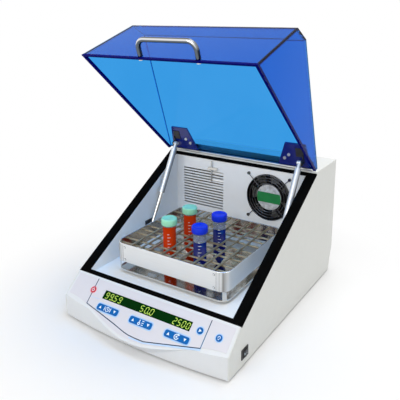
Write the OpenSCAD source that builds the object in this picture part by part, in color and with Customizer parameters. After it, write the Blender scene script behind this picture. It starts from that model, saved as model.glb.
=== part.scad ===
// Benchtop incubator shaker: a heated chamber with an orbiting tray under a hinged clear hood.
// The hood is drawn open. X runs to the right, Y to the back and Z up, in millimetres.

/* [Casing] */
// Width across the side panels
body_w = 400; // [380:5:460]
// Depth from the front skirt to the rear panel
body_d = 510; // [490:5:600]
// Height of the rear top
rear_h = 283; // [270:1:310]
// Thickness of the casing sheet
sheet_t = 2; // [1:0.5:3]
// Gap between the casing and the surface below it
ground_gap = 3; // [2:0.5:5]
// Height of the vertical skirt at the front corners
skirt_h = 50; // [44:1:56]
// Slope of the control panel above horizontal
panel_angle = 40; // [36:1:44]
// Distance from the skirt back to the chamber opening
sill_y = 44; // [42:1:50]
// Height of the front edge of the chamber opening
sill_z = 86; // [84:1:92]
// Slope of the chamber opening above horizontal
slope_angle = 29.7; // [28:0.1:31]
// How far the rear panel is cut back at its foot
rear_cut = 18; // [8:1:30]
// Height at which that cut begins
rear_cut_z = 62; // [40:1:80]

/* [Front fascia] */
// Wall of the moulded front
fascia_t = 3; // [2:0.5:4]
// How far the front bows out in the middle
front_bow = 13.5; // [8:0.5:20]
// How far the control panel dips down its slope in the middle
chin_dip = 42; // [30:1:44]
// Thickness of the overlay sheet
overlay_t = 0.6; // [0.3:0.1:1]
// Bare margin around the overlay sheet
overlay_margin = 5; // [3:0.5:8]
// Width of the display
display_w = 216; // [180:2:230]
// Height of the display along the panel
display_h = 18.5; // [14:0.5:20]
// Distance from the lower panel edge up to the middle of the display
display_s = 26; // [24:0.5:30]

/* [Keys] */
// Length of a rocking key
bar_key_w = 54; // [44:1:60]
// Height of a rocking key
bar_key_h = 13; // [10:0.5:14]
// Spacing of the rocking keys
bar_key_pitch = 85; // [80:1:92]
// Sideways place of the middle rocking key
bar_key_x = 4; // [-4:1:8]
// Diameter of a round key
round_key_d = 12.5; // [9:0.5:15]
// Height of a key above the overlay
key_proud = 1.2; // [1:0.1:1.5]
// Gap around a key
key_gap = 0.5; // [0.4:0.1:0.8]
// Thickness of a key body
key_body = 4; // [3:0.5:6]

/* [Chamber] */
// Thickness of the insulated side walls
side_wall = 22; // [20:1:28]
// Height of the chamber floor
floor_z = 80; // [79:1:82]
// Thickness of the chamber sheet
liner_t = 1.5; // [1:0.5:2]
// Thickness of the seal around the opening
gasket_t = 4; // [3:0.5:5]
// Width of the seal at the front
gasket_front = 10; // [8:1:14]
// Width of the seal at the top
gasket_top = 8; // [6:1:12]
// Width of the warm air slots
vent_w = 118; // [90:2:130]
// Height of one warm air slot
vent_slot = 3.4; // [2.5:0.1:4.5]
// Spacing of the warm air slots
vent_pitch = 7.1; // [6:0.1:8]
// Number of warm air slots
vent_count = 14; // [8:1:16]
// Gap between the slots and the chamber's left wall
vent_side = 21; // [15:1:27]
// Depth of the lowest slot below the rear top
vent_drop = 135; // [128:1:143]

/* [Fan] */
// Side of the square fan frame
fan_side = 119; // [100:1:122]
// Depth of the fan frame
fan_depth = 25; // [22:1:32]
// Gap between the fan frame and the chamber's right wall
fan_gap = 33.5; // [24:0.5:38]
// Depth of the fan axis below the rear top
fan_drop = 80; // [75:1:87]
// Radius of the fan hub plate
fan_hub_r = 31; // [26:1:34]
// Number of guard rings
guard_rings = 4; // [3:1:5]
// Radius of the guard wire
guard_wire = 0.9; // [0.6:0.1:1.2]
// Number of fan blades
blade_count = 7; // [5:1:9]

/* [Hood] */
// Thickness of the hood sheet
hood_t = 5; // [3:0.5:6]
// Height of the hood's top above the rear top
hood_rise = 8; // [7.5:0.5:12]
// Depth of the bevel above the front panel
bevel_y = 36; // [24:1:48]
// Height of the bevel
bevel_z = 33; // [24:1:44]
// Angle the hood opens by
hood_open = 71.5; // [60:0.5:75]
// Radius of the hinge knuckles
knuckle_r = 3; // [2.5:0.1:3.4]
// Radius of the hinge pin
hinge_pin_r = 1.5; // [1:0.1:1.8]
// Number of hinge knuckles, an odd number
knuckle_count = 9; // [5:2:15]
// Thickness of the hinge leaves
leaf_t = 1.2; // [1:0.1:1.4]
// Spacing of the handle's feet
handle_w = 132; // [110:1:140]
// Distance from the hood to the middle of the handle's bar
handle_out = 34; // [32:1:50]
// Radius of the handle's rod
handle_r = 5; // [4:0.5:6]
// Sideways place of the handle
handle_x = 14; // [-20:1:20]
// Bend radius of the handle
handle_bend = 18; // [12:1:22]
// Height of the handle above the hood's rim
handle_rim = 9; // [8:1:20]

/* [Gas struts] */
// Distance of a strut from the chamber's side wall
strut_gap = 11; // [10:1:15]
// Distance of the lower pivot in front of the hinge
pivot_back = 127; // [114:1:144]
// Distance of the lower pivot below the hinge
pivot_drop = 163; // [152:1:169]
// Distance of the ball stud from the hinge, along the hood
stud_back = 24.5; // [20:0.5:30]
// Distance of the ball stud below the hood's inner face
stud_drop = 13.5; // [13:0.5:15]
// Radius of the strut's tube
tube_r = 7; // [6:0.5:8]
// Length of the strut's tube
tube_len = 129; // [120:1:135]
// Radius of the strut's rod
rod_r = 4; // [3:0.5:4.5]

/* [Orbital drive] */
// Radius of the orbit
orbit_r = 5; // [3:0.5:8]
// Distance of the main crank in front of the chamber's middle
crank_shift = 1.5; // [-4:0.5:6]
// Where on its orbit the tray is drawn, in degrees
orbit_at = 90; // [0:5:355]
// Radius of the main shaft
shaft_r = 6; // [5:0.5:7]
// Radius of the crank pins and idler shafts
pin_r = 4; // [3:0.5:4.5]
// Radius of the driven pulley's belt track
pulley_r = 48; // [40:1:52]
// Radius of the motor pulley's belt track
motor_pulley_r = 14; // [12:1:18]
// Sideways place of the motor
motor_x = -110; // [-120:1:-100]
// Distance of the motor behind the main crank
motor_back = 88; // [80:1:98]
// Radius of the motor
motor_r = 32; // [26:1:34]
// Clearance of a shaft in its bore
run_fit = 0.05; // [0.03:0.01:0.08]

/* [Tray] */
// Width of the tray
tray_w = 276; // [260:2:284]
// Depth of the tray
tray_d = 254; // [246:2:258]
// Height of the tray's top edge
tray_top = 148; // [140:1:160]
// Corner radius of the tray
tray_corner = 20; // [12:1:24]
// Thickness of the tray sheet
tray_t = 1.2; // [0.8:0.1:2]
// Height of the riveted band around the tray
band_h = 40.5; // [30:0.5:48]
// Height of the upturned lip around the tray's floor
tray_lip = 3.5; // [2.5:0.5:6]
// Width of the corner posts between the lip and the band
post_w = 9; // [6:0.5:14]
// Spacing of the rack springs
spring_pitch = 26; // [25.5:0.5:27]
// Number of rack springs each way
spring_count = 9; // [9:1:9]
// Radius of a rack spring
spring_r = 2.2; // [1.5:0.1:2.4]
// Radius of a sample tube
sample_r = 13.8; // [12:0.1:14.5]
// Height of a sample tube with its cap
sample_h = 117; // [100:1:125]
// Radius of a tube cap
cap_r = 17; // [15:0.5:18]
// Height of a tube cap
cap_h = 15; // [12:1:24]

/* [Hidden] */
$fn = 96;
// Overlap that makes cuts clean
eps = 0.5;
// Gap between pieces that are fitted side by side
fit = 0.2;
// A length longer than the machine
far = 700;
hw = body_w / 2;
chamber_hw = hw - side_wall;
vent_x = -chamber_hw + vent_side + vent_w / 2;
fan_x = chamber_hw - fan_gap - fan_side / 2;
fan_z = rear_h - fan_drop;
vent_z = rear_h - vent_drop;
strut_x = chamber_hw - strut_gap;

// Rise of the rear top above the seal's upper end
top_step = 3;
rear_front_z = rear_h - top_step;
slope_len = (rear_front_z - sill_z) / sin(slope_angle);
rear_front_y = sill_y + slope_len * cos(slope_angle);
panel_len = (sill_z - skirt_h) / sin(panel_angle);
panel_y = sill_y - panel_len * cos(panel_angle);
front_y = panel_y - chin_dip * cos(panel_angle);
// Depth of the power inlet's flange behind the rear panel
inlet_flange = 2.5;
mid_y = (front_y + body_d + inlet_flange) / 2;

// Height of a line that runs n above the chamber slope, at a distance y from the front
function slope_z(y, n) = sill_z + (y - sill_y) * tan(slope_angle) + n / cos(slope_angle);
// Point at s along the slope and n above it
function slope_pt(s, n) = [
    sill_y + s * cos(slope_angle) - n * sin(slope_angle),
    sill_z + s * sin(slope_angle) + n * cos(slope_angle)
];
// Lower edge of the control panel at x, measured down its slope
function chin(x) = -chin_dip * (1 + cos(180 * min(1, abs(x) / (hw - 4)))) / 2;

base_z = 8;
base_t = 2;
base_top = base_z + base_t;
inner_hw = hw - sheet_t;
foot_r = 13;
foot_x = hw - 30;
foot_front = 45;
foot_rear = body_d - 55;

chamber_front = sill_y + gasket_front;
chamber_back = rear_front_y - 2;
crank_y = (chamber_front + chamber_back) / 2 - crank_shift;
motor_y = crank_y + motor_back;
flange_n = -gasket_t - liner_t;
back_wall_top = slope_z(chamber_back, flange_n) - fit;

hinge_y = rear_front_y;
hinge_z = rear_h + 4;
pivot_y = hinge_y - pivot_back;
pivot_z = hinge_z - pivot_drop;
hood_top = rear_h + hood_rise;
hood_end = hinge_y - 4;
rim_gap = 0.4;
rim_z = sill_z + rim_gap;
hood_front_top = hood_top - bevel_z;
bevel_back = sill_y + bevel_y;
bevel_angle = atan2(bevel_z, bevel_y);
// Inner corners of the hood's mitred sheets
inner_low = [
    sill_y + hood_t,
    hood_front_top - hood_t * tan((90 - bevel_angle) / 2)
];
inner_high = [
    bevel_back + hood_t * tan(bevel_angle / 2),
    hood_top - hood_t
];

stud_y = hinge_y - stud_back;
stud_z = hood_top - hood_t - stud_drop;
// Ball stud with the hood open
stud_open = [
    hinge_y - stud_back * cos(hood_open) + (stud_z - hinge_z) * sin(hood_open),
    hinge_z + stud_back * sin(hood_open) + (stud_z - hinge_z) * cos(hood_open)
];
strut_dy = stud_open[0] - pivot_y;
strut_dz = stud_open[1] - pivot_z;
strut_len = sqrt(strut_dy * strut_dy + strut_dz * strut_dz);
strut_angle = atan2(strut_dz, strut_dy);
eye_r = 5;
eye_w = 8;
stud_r = 3;
// Bare neck between the strut's tube and its eye
neck_len = 14;
neck_r = 4.5;

frame_z = 60;
frame_t = 3;
main = [0, crank_y];
// Idler cranks: left, right and rear
idler_x = 90;
idler_front = 66;
idler_rear = 94;
idlers = [[-idler_x, crank_y - idler_front], [idler_x, crank_y - idler_front], [0, crank_y + idler_rear]];
disc_z = 66;
disc_t = 5;
weight_r = 40;
boss_low = disc_z + disc_t + 2.5;
plate_z = floor_z + 2;
plate_t = 3;
tray_z = plate_z + plate_t;
main_boss_r = 14;
idler_boss_r = 11;
hole_gap = 3;
// Offset of the crank pins from their shafts
pin_off = [orbit_r * cos(orbit_at), orbit_r * sin(orbit_at)];
tray_x = pin_off[0];
tray_y = crank_y + pin_off[1];
track_z = 16;
track_h = 9;
flange_t = 2;
belt_gap = 0.3;
belt_t = 2;
bearing_gap = 0.02;
main_race_r = 14;
idler_race_r = 9.5;
main_race_h = 8;
idler_race_h = 6;
main_low = 32;
idler_low = 36;
race_inset = 1;
main_housing_wall = 8;
idler_housing_wall = 4;
main_flange_r = 38;
idler_flange_r = 22;
housing_flange_t = 6;
// Bearer under the drive: its half width, and its reach before and behind the main crank
frame_hw = 158;
frame_before = 105;
frame_behind = 135;
frame_post_in = 12;
frame_post_r = 7;
motor_nose_r = 11;
platform_side = 220;

// Rows and columns of the sample tubes, in spring pitches from the tray's middle
tube_cols = [-1.5, 1.5];
tube_rows = [-2.5, 0.5];
// How far a spring gives way beside a tube
spring_give = sample_r + spring_r + 0.4 - spring_pitch / 2;
function give(c, stops) = len([for (t = stops) if (c - t == 0.5) t]) > 0 ? spring_give
    : len([for (t = stops) if (t - c == 0.5) t]) > 0 ? -spring_give : 0;
function spring_at(i, stops) =
    let (c = i - (spring_count - 1) / 2) c * spring_pitch + give(c, stops);
spring_upper = tray_top - 5;
spring_lower = spring_upper - 2 * spring_r - 0.3;

switch_y = 57.5;
switch_z = 27;
switch_w = 24;
switch_h = 20;
switch_lip = 1.5;
switch_wall = 1.5;
// The rocker tilts on pins that stand along Z
rocker_r = 13;
rocker_x = hw - 9;
rocker_pin_r = 1.2;
inlet_x = hw - 70;
inlet_z = 92;
inlet_w = 46;
inlet_h = 27;

// Moves the machine's front and middle to the model's origin
module place() {
    translate([0, -mid_y, 0]) children();
}

// Slab between two X values with an outline in Y and Z
module slab(x0, x1, outline) {
    translate([x0, 0, 0]) rotate([90, 0, 90]) linear_extrude(x1 - x0) polygon(outline);
}

// Box between two corners
module block(low, high) {
    translate(low) cube(high - low);
}

// Round rod between two points
module rod(a, b, r) {
    d = b - a;
    l = norm(d);
    translate(a) rotate([0, acos(d[2] / l), atan2(d[1], d[0])]) cylinder(h = l, r = r);
}

// Rectangle with round corners, centred
module round_rect(w, d, r) {
    square([w - 2 * r, d], center = true);
    square([w, d - 2 * r], center = true);
    for (x = [-1, 1], y = [-1, 1])
        translate([x * (w / 2 - r), y * (d / 2 - r)]) circle(r);
}

// Ring with a bore
module ring(h, outer, bore) {
    difference() {
        cylinder(h = h, r = outer);
        translate([0, 0, -eps]) cylinder(h = h + 2 * eps, r = bore);
    }
}

// Frames in which the sloping parts are drawn
module on_slope() {
    translate([0, sill_y, sill_z]) rotate([slope_angle, 0, 0]) children();
}

module on_panel() {
    translate([0, panel_y, skirt_h]) rotate([panel_angle, 0, 0]) children();
}

// Turns the closed hood up to its open place
module opened() {
    translate([0, hinge_y, hinge_z]) rotate([-hood_open, 0, 0])
        translate([0, -hinge_y, -hinge_z]) children();
}

// Frame along a strut, with Z from the lower pivot to the ball stud
module along_strut(side) {
    translate([side * strut_x, pivot_y, pivot_z]) rotate([strut_angle - 90, 0, 0]) children();
}

// ---- Casing ----

module base_plate() {
    rear = body_d - rear_cut - sheet_t - 1;
    flange_h = 14;
    base_gap = 6;
    flange_y = switch_y + switch_w;
    front_hw = inner_hw - fascia_t - 2 * fit;
    color("silver") place() difference() {
        union() {
            block([-inner_hw + fit, sill_y + fit, base_z], [inner_hw - fit, rear, base_top]);
            block([-front_hw, base_gap, base_z], [front_hw, sill_y + 1, base_top]);
            for (s = [-1, 1])
                block([s > 0 ? inner_hw - fit - base_t : -inner_hw + fit, flange_y, base_z],
                      [s > 0 ? inner_hw - fit : -inner_hw + fit + base_t, rear, base_z + flange_h]);
        }
        for (x = [-foot_x, foot_x], y = [foot_front, foot_rear])
            translate([x, y, base_z - eps]) cylinder(h = base_t + 2 * eps, r = 3);
    }
}

module rubber_feet() {
    color("black") place()
        for (x = [-foot_x, foot_x], y = [foot_front, foot_rear])
            translate([x, y, 0]) {
                cylinder(h = base_z, r = foot_r);
                cylinder(h = base_top + 3, r = 2.9);
            }
}

// Outline of a side panel in Y and Z
side_outline = [
    [0, ground_gap], [0, skirt_h - 0.5], [panel_y, skirt_h], [sill_y, sill_z],
    slope_pt(0, -gasket_t), slope_pt(slope_len, -gasket_t),
    [rear_front_y, rear_h], [body_d, rear_h], [body_d, rear_cut_z], [body_d - rear_cut, ground_gap]
];

module outer_casing() {
    color("whitesmoke") place() difference() {
        union() {
            slab(-hw, -inner_hw, side_outline);
            slab(inner_hw, hw, side_outline);
            block([-hw, rear_front_y, rear_h - sheet_t], [hw, body_d, rear_h]);
            slab(-hw, hw, [
                slope_pt(slope_len, 0), [rear_front_y, rear_h], [rear_front_y + 4, rear_h],
                slope_pt(slope_len + 2, -sheet_t), slope_pt(slope_len, -sheet_t)
            ]);
        }
        block([inner_hw - eps, switch_y - switch_w / 2 + 1, switch_z - switch_h / 2 + 1],
              [hw + eps, switch_y + switch_w / 2 - 1, switch_z + switch_h / 2 - 1]);
    }
}

// Rear screws: X and Z of each
rear_screws = [for (x = [-1, 0, 1], z = [rear_cut_z + 10, rear_h - 16]) [x * (hw - 22), z]];

// Exhaust slots in the rear panel
exhaust_side = 50;
exhaust_w = 110;
exhaust_drop = 133;
exhaust_pitch = 10;
exhaust_slot = 4;
exhaust_count = 10;

module rear_panel() {
    w = inner_hw - fit;
    top = rear_h - sheet_t - fit;
    cut_t = sheet_t / cos(atan2(rear_cut, rear_cut_z - ground_gap));
    color("whitesmoke") place() difference() {
        slab(-w, w, [
            [body_d - rear_cut, ground_gap], [body_d, rear_cut_z], [body_d, top],
            [body_d - sheet_t, top], [body_d - sheet_t, rear_cut_z + 0.3],
            [body_d - rear_cut - cut_t, ground_gap]
        ]);
        for (i = [0:exhaust_count - 1]) let (z = rear_h - exhaust_drop + i * exhaust_pitch)
            block([-hw + exhaust_side, body_d - sheet_t - eps, z],
                  [-hw + exhaust_side + exhaust_w, body_d + eps, z + exhaust_slot]);
        block([inlet_x - inlet_w / 2 - fit, body_d - sheet_t - eps, inlet_z - inlet_h / 2 - fit],
              [inlet_x + inlet_w / 2 + fit, body_d + eps, inlet_z + inlet_h / 2 + fit]);
        for (p = rear_screws)
            translate([p[0], body_d + eps, p[1]]) rotate([90, 0, 0]) cylinder(h = sheet_t + 2 * eps, r = 2);
    }
}

module casing_screws() {
    color("gray") place()
        for (p = rear_screws)
            translate([p[0], body_d, p[1]]) rotate([90, 0, 0]) {
                translate([0, 0, -2]) cylinder(h = 2, r = 3.5);
                cylinder(h = 8, r = 1.9);
            }
}

// ---- Front ----

// Outline of the control panel on its slope, drawn back by a margin
module panel_outline(margin) {
    w = hw - sheet_t - fit - margin;
    n = 48;
    lower = [for (i = [0:n]) let (x = -w + 2 * w * i / n) [x, min(chin(x), -0.5) + margin]];
    polygon(concat(lower, [[w, panel_len - margin], [-w, panel_len - margin]]));
}

// Plan of the bowed front, drawn back by a wall
module bowed_plan(wall) {
    w = hw - sheet_t - fit;
    r = (w * w + front_bow * front_bow) / (2 * front_bow);
    intersection() {
        translate([-w + wall, -front_bow - 10])
            square([2 * (w - wall), sill_y + front_bow + 10 + (wall > 0 ? eps : 0)]);
        translate([0, r - front_bow]) circle(r - wall, $fn = 360);
    }
}

// Room below the control panel's face, drawn back by a wall
module below_panel(wall) {
    on_panel() translate([-far / 2, -far / 2, -far - wall]) cube([far, far, far]);
}

module bar_key_plan(gap) {
    round_rect(bar_key_w + 2 * gap, bar_key_h + 2 * gap, 4 + gap);
}

// Depth of the display behind the panel's face
display_deep = 6;
// Distance of the light key from the casing's side
light_side = 31;
// Pivot pins of the rocking keys, bedded in the fascia's wall
key_pin_r = 1;
key_pin_long = 2;
key_pin_n = -fascia_t / 2;
// X and panel height of each key
bar_keys = [for (i = [-1, 0, 1]) [bar_key_x + i * bar_key_pitch, 0]];
start_at = [display_w / 2 + 20.5, display_s - 1];
light_at = [hw - light_side, display_s - 1.5];
standby_at = [-display_w / 2 - 30, display_s + 1];
round_keys = [start_at, light_at, standby_at];

// Pivot pin of a rocking key, along the panel's slope
module key_pin(p, beyond, r) {
    s = bar_key_h / 2 + beyond;
    rod([p[0], p[1] - s, key_pin_n], [p[0], p[1] + s, key_pin_n], r);
}

// All key openings and the display window, through a depth
module panel_openings(depth, rise) {
    for (p = bar_keys)
        translate([p[0], p[1], -depth]) linear_extrude(depth + rise) bar_key_plan(key_gap);
    for (p = round_keys)
        translate([p[0], p[1], -depth]) cylinder(h = depth + rise, r = round_key_d / 2 + key_gap);
    translate([-display_w / 2, display_s - display_h / 2, -depth])
        cube([display_w, display_h, depth + rise]);
}

module front_fascia() {
    chin_h = 34;
    color("whitesmoke") place() difference() {
        union() {
            intersection() {
                translate([0, 0, ground_gap]) linear_extrude(sill_z) bowed_plan(0);
                below_panel(0);
            }
            intersection() {
                on_panel() translate([0, 0, -chin_h]) linear_extrude(chin_h) intersection() {
                    panel_outline(0);
                    translate([-far / 2, -far / 2]) square([far, far / 2 + panel_len - 10]);
                }
                translate([-far / 2, -far / 2, ground_gap]) cube([far, far / 2 + sill_y - 8, far]);
            }
        }
        intersection() {
            translate([0, 0, ground_gap - eps]) linear_extrude(sill_z) bowed_plan(fascia_t);
            below_panel(fascia_t);
        }
        on_panel() {
            panel_openings(20, eps);
            for (p = bar_keys) key_pin(p, key_gap + key_pin_long + run_fit, key_pin_r + run_fit);
        }
    }
}

module control_overlay() {
    color("lavender") place() on_panel() difference() {
        linear_extrude(overlay_t) panel_outline(overlay_margin);
        panel_openings(eps, overlay_t + eps);
    }
}

module display_module() {
    color("darkgreen") place() on_panel() {
        translate([-display_w / 2 + fit, display_s - display_h / 2 + fit, -display_deep])
            cube([display_w - 2 * fit, display_h - 2 * fit, display_deep + overlay_t / 2]);
        // Flange that bears on the back of the fascia
        translate([-display_w / 2 - 3, display_s - display_h / 2 - 2, -fascia_t - 1.5])
            cube([display_w + 6, display_h + 4, 1.5]);
    }
}

module control_board() {
    board_n = -15;
    board_x0 = -display_w / 2 - 40;
    board_x1 = light_at[0] + 3;
    color("green") place() on_panel() {
        translate([board_x0, 4, board_n]) cube([board_x1 - board_x0, panel_len - 14, 1.6]);
        for (x = [board_x0 + 4, board_x1 - 4], s = [8, panel_len - 14])
            translate([x, s, board_n]) cylinder(h = -board_n - fascia_t, r = 3);
        // Display post, relays, capacitors and sockets
        translate([-display_w / 2 + 10, display_s - 6, board_n])
            cube([display_w - 20, 12, -board_n - display_deep]);
        for (i = [0:3]) translate([-100 + 60 * i, 8, board_n - 9]) cube([18, 14, 10]);
        for (i = [0:4]) translate([-70 + 42 * i, 32, board_n - 10]) cylinder(h = 11, r = 5);
    }
}

module bar_key(i) {
    color("dodgerblue") place() on_panel() {
        translate([bar_keys[i][0], bar_keys[i][1], -key_body + overlay_t])
            linear_extrude(key_body + key_proud) bar_key_plan(0);
        key_pin(bar_keys[i], key_gap + key_pin_long, key_pin_r);
    }
}

module round_key(p, tint) {
    color(tint) place() on_panel()
        translate([p[0], p[1], -key_body + overlay_t])
            cylinder(h = key_body + key_proud, r = round_key_d / 2);
}

module timer_key() { bar_key(0); }

module temperature_key() { bar_key(1); }

module speed_key() { bar_key(2); }

module start_key() { round_key(start_at, "dodgerblue"); }

module light_key() { round_key(light_at, "dodgerblue"); }

module standby_key() { round_key(standby_at, "crimson"); }

module switch_housing() {
    body_w2 = switch_w / 2 - 1 - fit;
    body_h2 = switch_h / 2 - 1 - fit;
    inner_w2 = body_w2 - switch_wall;
    inner_h2 = body_h2 - switch_wall;
    deep = 18;
    color("black") place() difference() {
        union() {
            block([hw, switch_y - switch_w / 2, switch_z - switch_h / 2],
                  [hw + switch_lip, switch_y + switch_w / 2, switch_z + switch_h / 2]);
            block([hw - deep, switch_y - body_w2, switch_z - body_h2],
                  [hw, switch_y + body_w2, switch_z + body_h2]);
        }
        block([hw - deep + switch_wall, switch_y - inner_w2, switch_z - inner_h2],
              [hw + switch_lip + eps, switch_y + inner_w2, switch_z + inner_h2]);
        translate([rocker_x, switch_y, switch_z - switch_h])
            cylinder(h = 2 * switch_h, r = rocker_pin_r + run_fit);
    }
}

module power_rocker() {
    w = switch_w / 2 - 1 - fit - switch_wall - 1.8;
    h = switch_h / 2 - 1 - fit - switch_wall - 0.4;
    color("black") place() {
        intersection() {
            translate([rocker_x, switch_y, switch_z - h]) cylinder(h = 2 * h, r = rocker_r);
            block([rocker_x - 2, switch_y - w, switch_z - h], [hw + 4, switch_y + w, switch_z + h]);
        }
        translate([rocker_x, switch_y, switch_z - h - 1.4]) cylinder(h = 2 * h + 2.8, r = rocker_pin_r);
    }
}

module power_inlet() {
    deep = 25;
    cavity = [26, 18, 18];
    face = body_d + inlet_flange;
    socket_x = inlet_x - 7;
    pin_y = face - cavity[2] / 2 - 3;
    color("dimgray") place() difference() {
        union() {
            block([inlet_x - inlet_w / 2 - 5, body_d, inlet_z - inlet_h / 2 - 4],
                  [inlet_x + inlet_w / 2 + 5, face, inlet_z + inlet_h / 2 + 4]);
            block([inlet_x - inlet_w / 2, body_d - deep, inlet_z - inlet_h / 2],
                  [inlet_x + inlet_w / 2, body_d + eps, inlet_z + inlet_h / 2]);
        }
        difference() {
            block([socket_x - cavity[0] / 2, face - cavity[2], inlet_z - cavity[1] / 2],
                  [socket_x + cavity[0] / 2, face + eps, inlet_z + cavity[1] / 2]);
            for (x = [-7, 0, 7])
                translate([socket_x + x, pin_y, inlet_z + (x == 0 ? 4 : -2)])
                    cube([2, cavity[2] - 6, 4], center = true);
        }
        // Fuse drawer slot
        block([inlet_x + 9, face - 1, inlet_z - 8], [inlet_x + 20, face + eps, inlet_z - 7]);
    }
}

// ---- Chamber ----

module lid_gasket() {
    color("black") place() on_slope() difference() {
        translate([-hw, 0, -gasket_t]) cube([body_w, slope_len, gasket_t]);
        translate([-chamber_hw, gasket_front, -gasket_t - eps])
            cube([2 * chamber_hw, slope_len - gasket_front - gasket_top, gasket_t + 2 * eps]);
    }
}

module chamber_liner() {
    w = chamber_hw + liner_t;
    wall = [
        [chamber_front - liner_t, floor_z - liner_t], [chamber_back, floor_z - liner_t],
        [chamber_back, slope_z(chamber_back, flange_n + 0.2)],
        [chamber_front - liner_t, slope_z(chamber_front - liner_t, flange_n + 0.2)]
    ];
    front_z = slope_z(chamber_front - liner_t, flange_n);
    color("aliceblue") place() difference() {
        union() {
            on_slope() difference() {
                translate([-inner_hw + fit, 3, flange_n])
                    cube([2 * (inner_hw - fit), slope_len - 4, liner_t]);
                translate([-chamber_hw, gasket_front, flange_n - eps])
                    cube([2 * chamber_hw, slope_len - gasket_front - gasket_top, liner_t + 2 * eps]);
            }
            for (s = [-1, 1]) slab(s > 0 ? chamber_hw : -w, s > 0 ? w : -chamber_hw, wall);
            block([-w, chamber_front - liner_t, floor_z - liner_t], [w, chamber_back, floor_z]);
            block([-w, chamber_front - liner_t, floor_z - liner_t], [w, chamber_front, front_z]);
        }
        translate([main[0], main[1], floor_z - liner_t - eps])
            cylinder(h = liner_t + 2 * eps, r = main_boss_r + orbit_r + hole_gap);
        for (p = idlers)
            translate([p[0], p[1], floor_z - liner_t - eps])
                cylinder(h = liner_t + 2 * eps, r = idler_boss_r + orbit_r + hole_gap);
    }
}

fan_hole_r = fan_side / 2 - 2.5;
// Distance of the fan's screws from its axis
fan_screw = 52.5;

module chamber_back_wall() {
    w = chamber_hw + liner_t;
    deep = liner_t + 2;
    color("aliceblue") place() difference() {
        block([-w, chamber_back, floor_z - liner_t], [w, chamber_back + liner_t, back_wall_top]);
        for (i = [0:vent_count - 1])
            translate([vent_x - vent_w / 2, chamber_back - eps, vent_z + i * vent_pitch - vent_slot / 2])
                cube([vent_w, deep, vent_slot]);
        translate([fan_x, chamber_back - eps, fan_z]) rotate([-90, 0, 0]) {
            cylinder(h = deep, r = fan_hole_r);
            for (x = [-1, 1], z = [-1, 1])
                translate([x * fan_screw, z * fan_screw, 0]) cylinder(h = deep, r = 2.2);
        }
    }
}

module wall_insulation() {
    low = floor_z + 2;
    n = flange_n - 0.5;
    outline = [
        [chamber_front + 8, low], [chamber_back - 2, low],
        [chamber_back - 2, slope_z(chamber_back - 2, n)], [chamber_front + 8, slope_z(chamber_front + 8, n)]
    ];
    color("khaki") place() {
        slab(-inner_hw + fit, -chamber_hw - liner_t - fit, outline);
        slab(chamber_hw + liner_t + fit, inner_hw - fit, outline);
    }
}

fan_y = chamber_back + liner_t;

// Frame along the fan's axis, with Z to the back
module on_fan() {
    translate([fan_x, fan_y, fan_z]) rotate([-90, 0, 0]) children();
}

module fan_frame() {
    strut_w = 6;
    color("black") place() on_fan() difference() {
        union() {
            difference() {
                translate([-fan_side / 2, -fan_side / 2, 0]) cube([fan_side, fan_side, fan_depth]);
                translate([0, 0, -eps]) cylinder(h = fan_depth + 2 * eps, r = fan_hole_r);
            }
            cylinder(h = 3, r = fan_hub_r);
            for (a = [45:90:315])
                rotate([0, 0, a]) translate([fan_hub_r - 2, -strut_w / 2, 0])
                    cube([fan_hole_r - fan_hub_r + 4, strut_w, 3]);
        }
        for (x = [-1, 1], y = [-1, 1])
            translate([x * fan_screw, y * fan_screw, -eps]) cylinder(h = fan_depth + 2 * eps, r = 2.2);
        translate([0, 0, 2]) cylinder(h = 2, r = 2 + run_fit);
    }
}

module fan_impeller() {
    hub = fan_hub_r - 4;
    low = 4.5;
    high = fan_depth - 2;
    reach = fan_hole_r - 2;
    color("dimgray") place() on_fan() {
        translate([0, 0, low]) cylinder(h = high - low, r = hub);
        translate([0, 0, 2.2]) cylinder(h = low, r = 2);
        for (i = [0:blade_count - 1])
            rotate([0, 0, i * 360 / blade_count]) intersection() {
                translate([(hub + reach) / 2 - 2, 0, (low + high) / 2]) rotate([52, 0, 0])
                    cube([reach - hub + 4, 2, 22], center = true);
                translate([0, 0, low]) cylinder(h = high - low, r = reach);
            }
    }
}

module fan_guard() {
    inner = fan_hub_r + 4;
    step = (fan_hole_r - 2 - inner) / (guard_rings - 1);
    n = -5;
    leg = n + guard_wire;
    color("silver") place() on_fan() {
        for (i = [0:guard_rings - 1])
            translate([0, 0, n]) rotate_extrude()
                translate([inner + i * step, 0]) circle(guard_wire, $fn = 24);
        for (x = [-1, 1], y = [-1, 1]) {
            rod([x * 24, y * 24, leg], [x * fan_screw, y * fan_screw, leg], guard_wire);
            translate([x * fan_screw, y * fan_screw, n]) cylinder(h = -n - liner_t, r = 3.6);
        }
    }
}

module heater_element() {
    rows = 4;
    gap = 20;
    r = 4;
    low = vent_z + 15;
    y = fan_y + 22;
    x0 = vent_x - vent_w / 2 + 16;
    x1 = vent_x + vent_w / 2 - 16;
    color("sienna") place() {
        for (i = [0:rows - 1]) rod([x0, y, low + i * gap], [x1, y, low + i * gap], r);
        for (i = [0:rows - 2])
            translate([i % 2 == 0 ? x1 : x0, y, low + (i + 0.5) * gap]) rotate([90, 0, 0])
                rotate([0, 0, i % 2 == 0 ? -90 : 90]) rotate_extrude(angle = 180)
                    translate([gap / 2, 0]) circle(r, $fn = 32);
        // Terminal posts that hold the element to the back wall
        for (i = [0, rows - 1]) rod([x0 + 6, fan_y, low + i * gap], [x0 + 6, y, low + i * gap], 3);
    }
}

probe_x = vent_x + 28;

module temperature_probe() {
    y = chamber_back - 5;
    top = back_wall_top - 2;
    color("silver") place() {
        rod([probe_x, y, top - 53], [probe_x, y, top], 1.8);
        block([probe_x - 10, y - 2.6, top - 22], [probe_x + 16, chamber_back, top - 17]);
    }
}

// ---- Orbital drive ----

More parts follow.
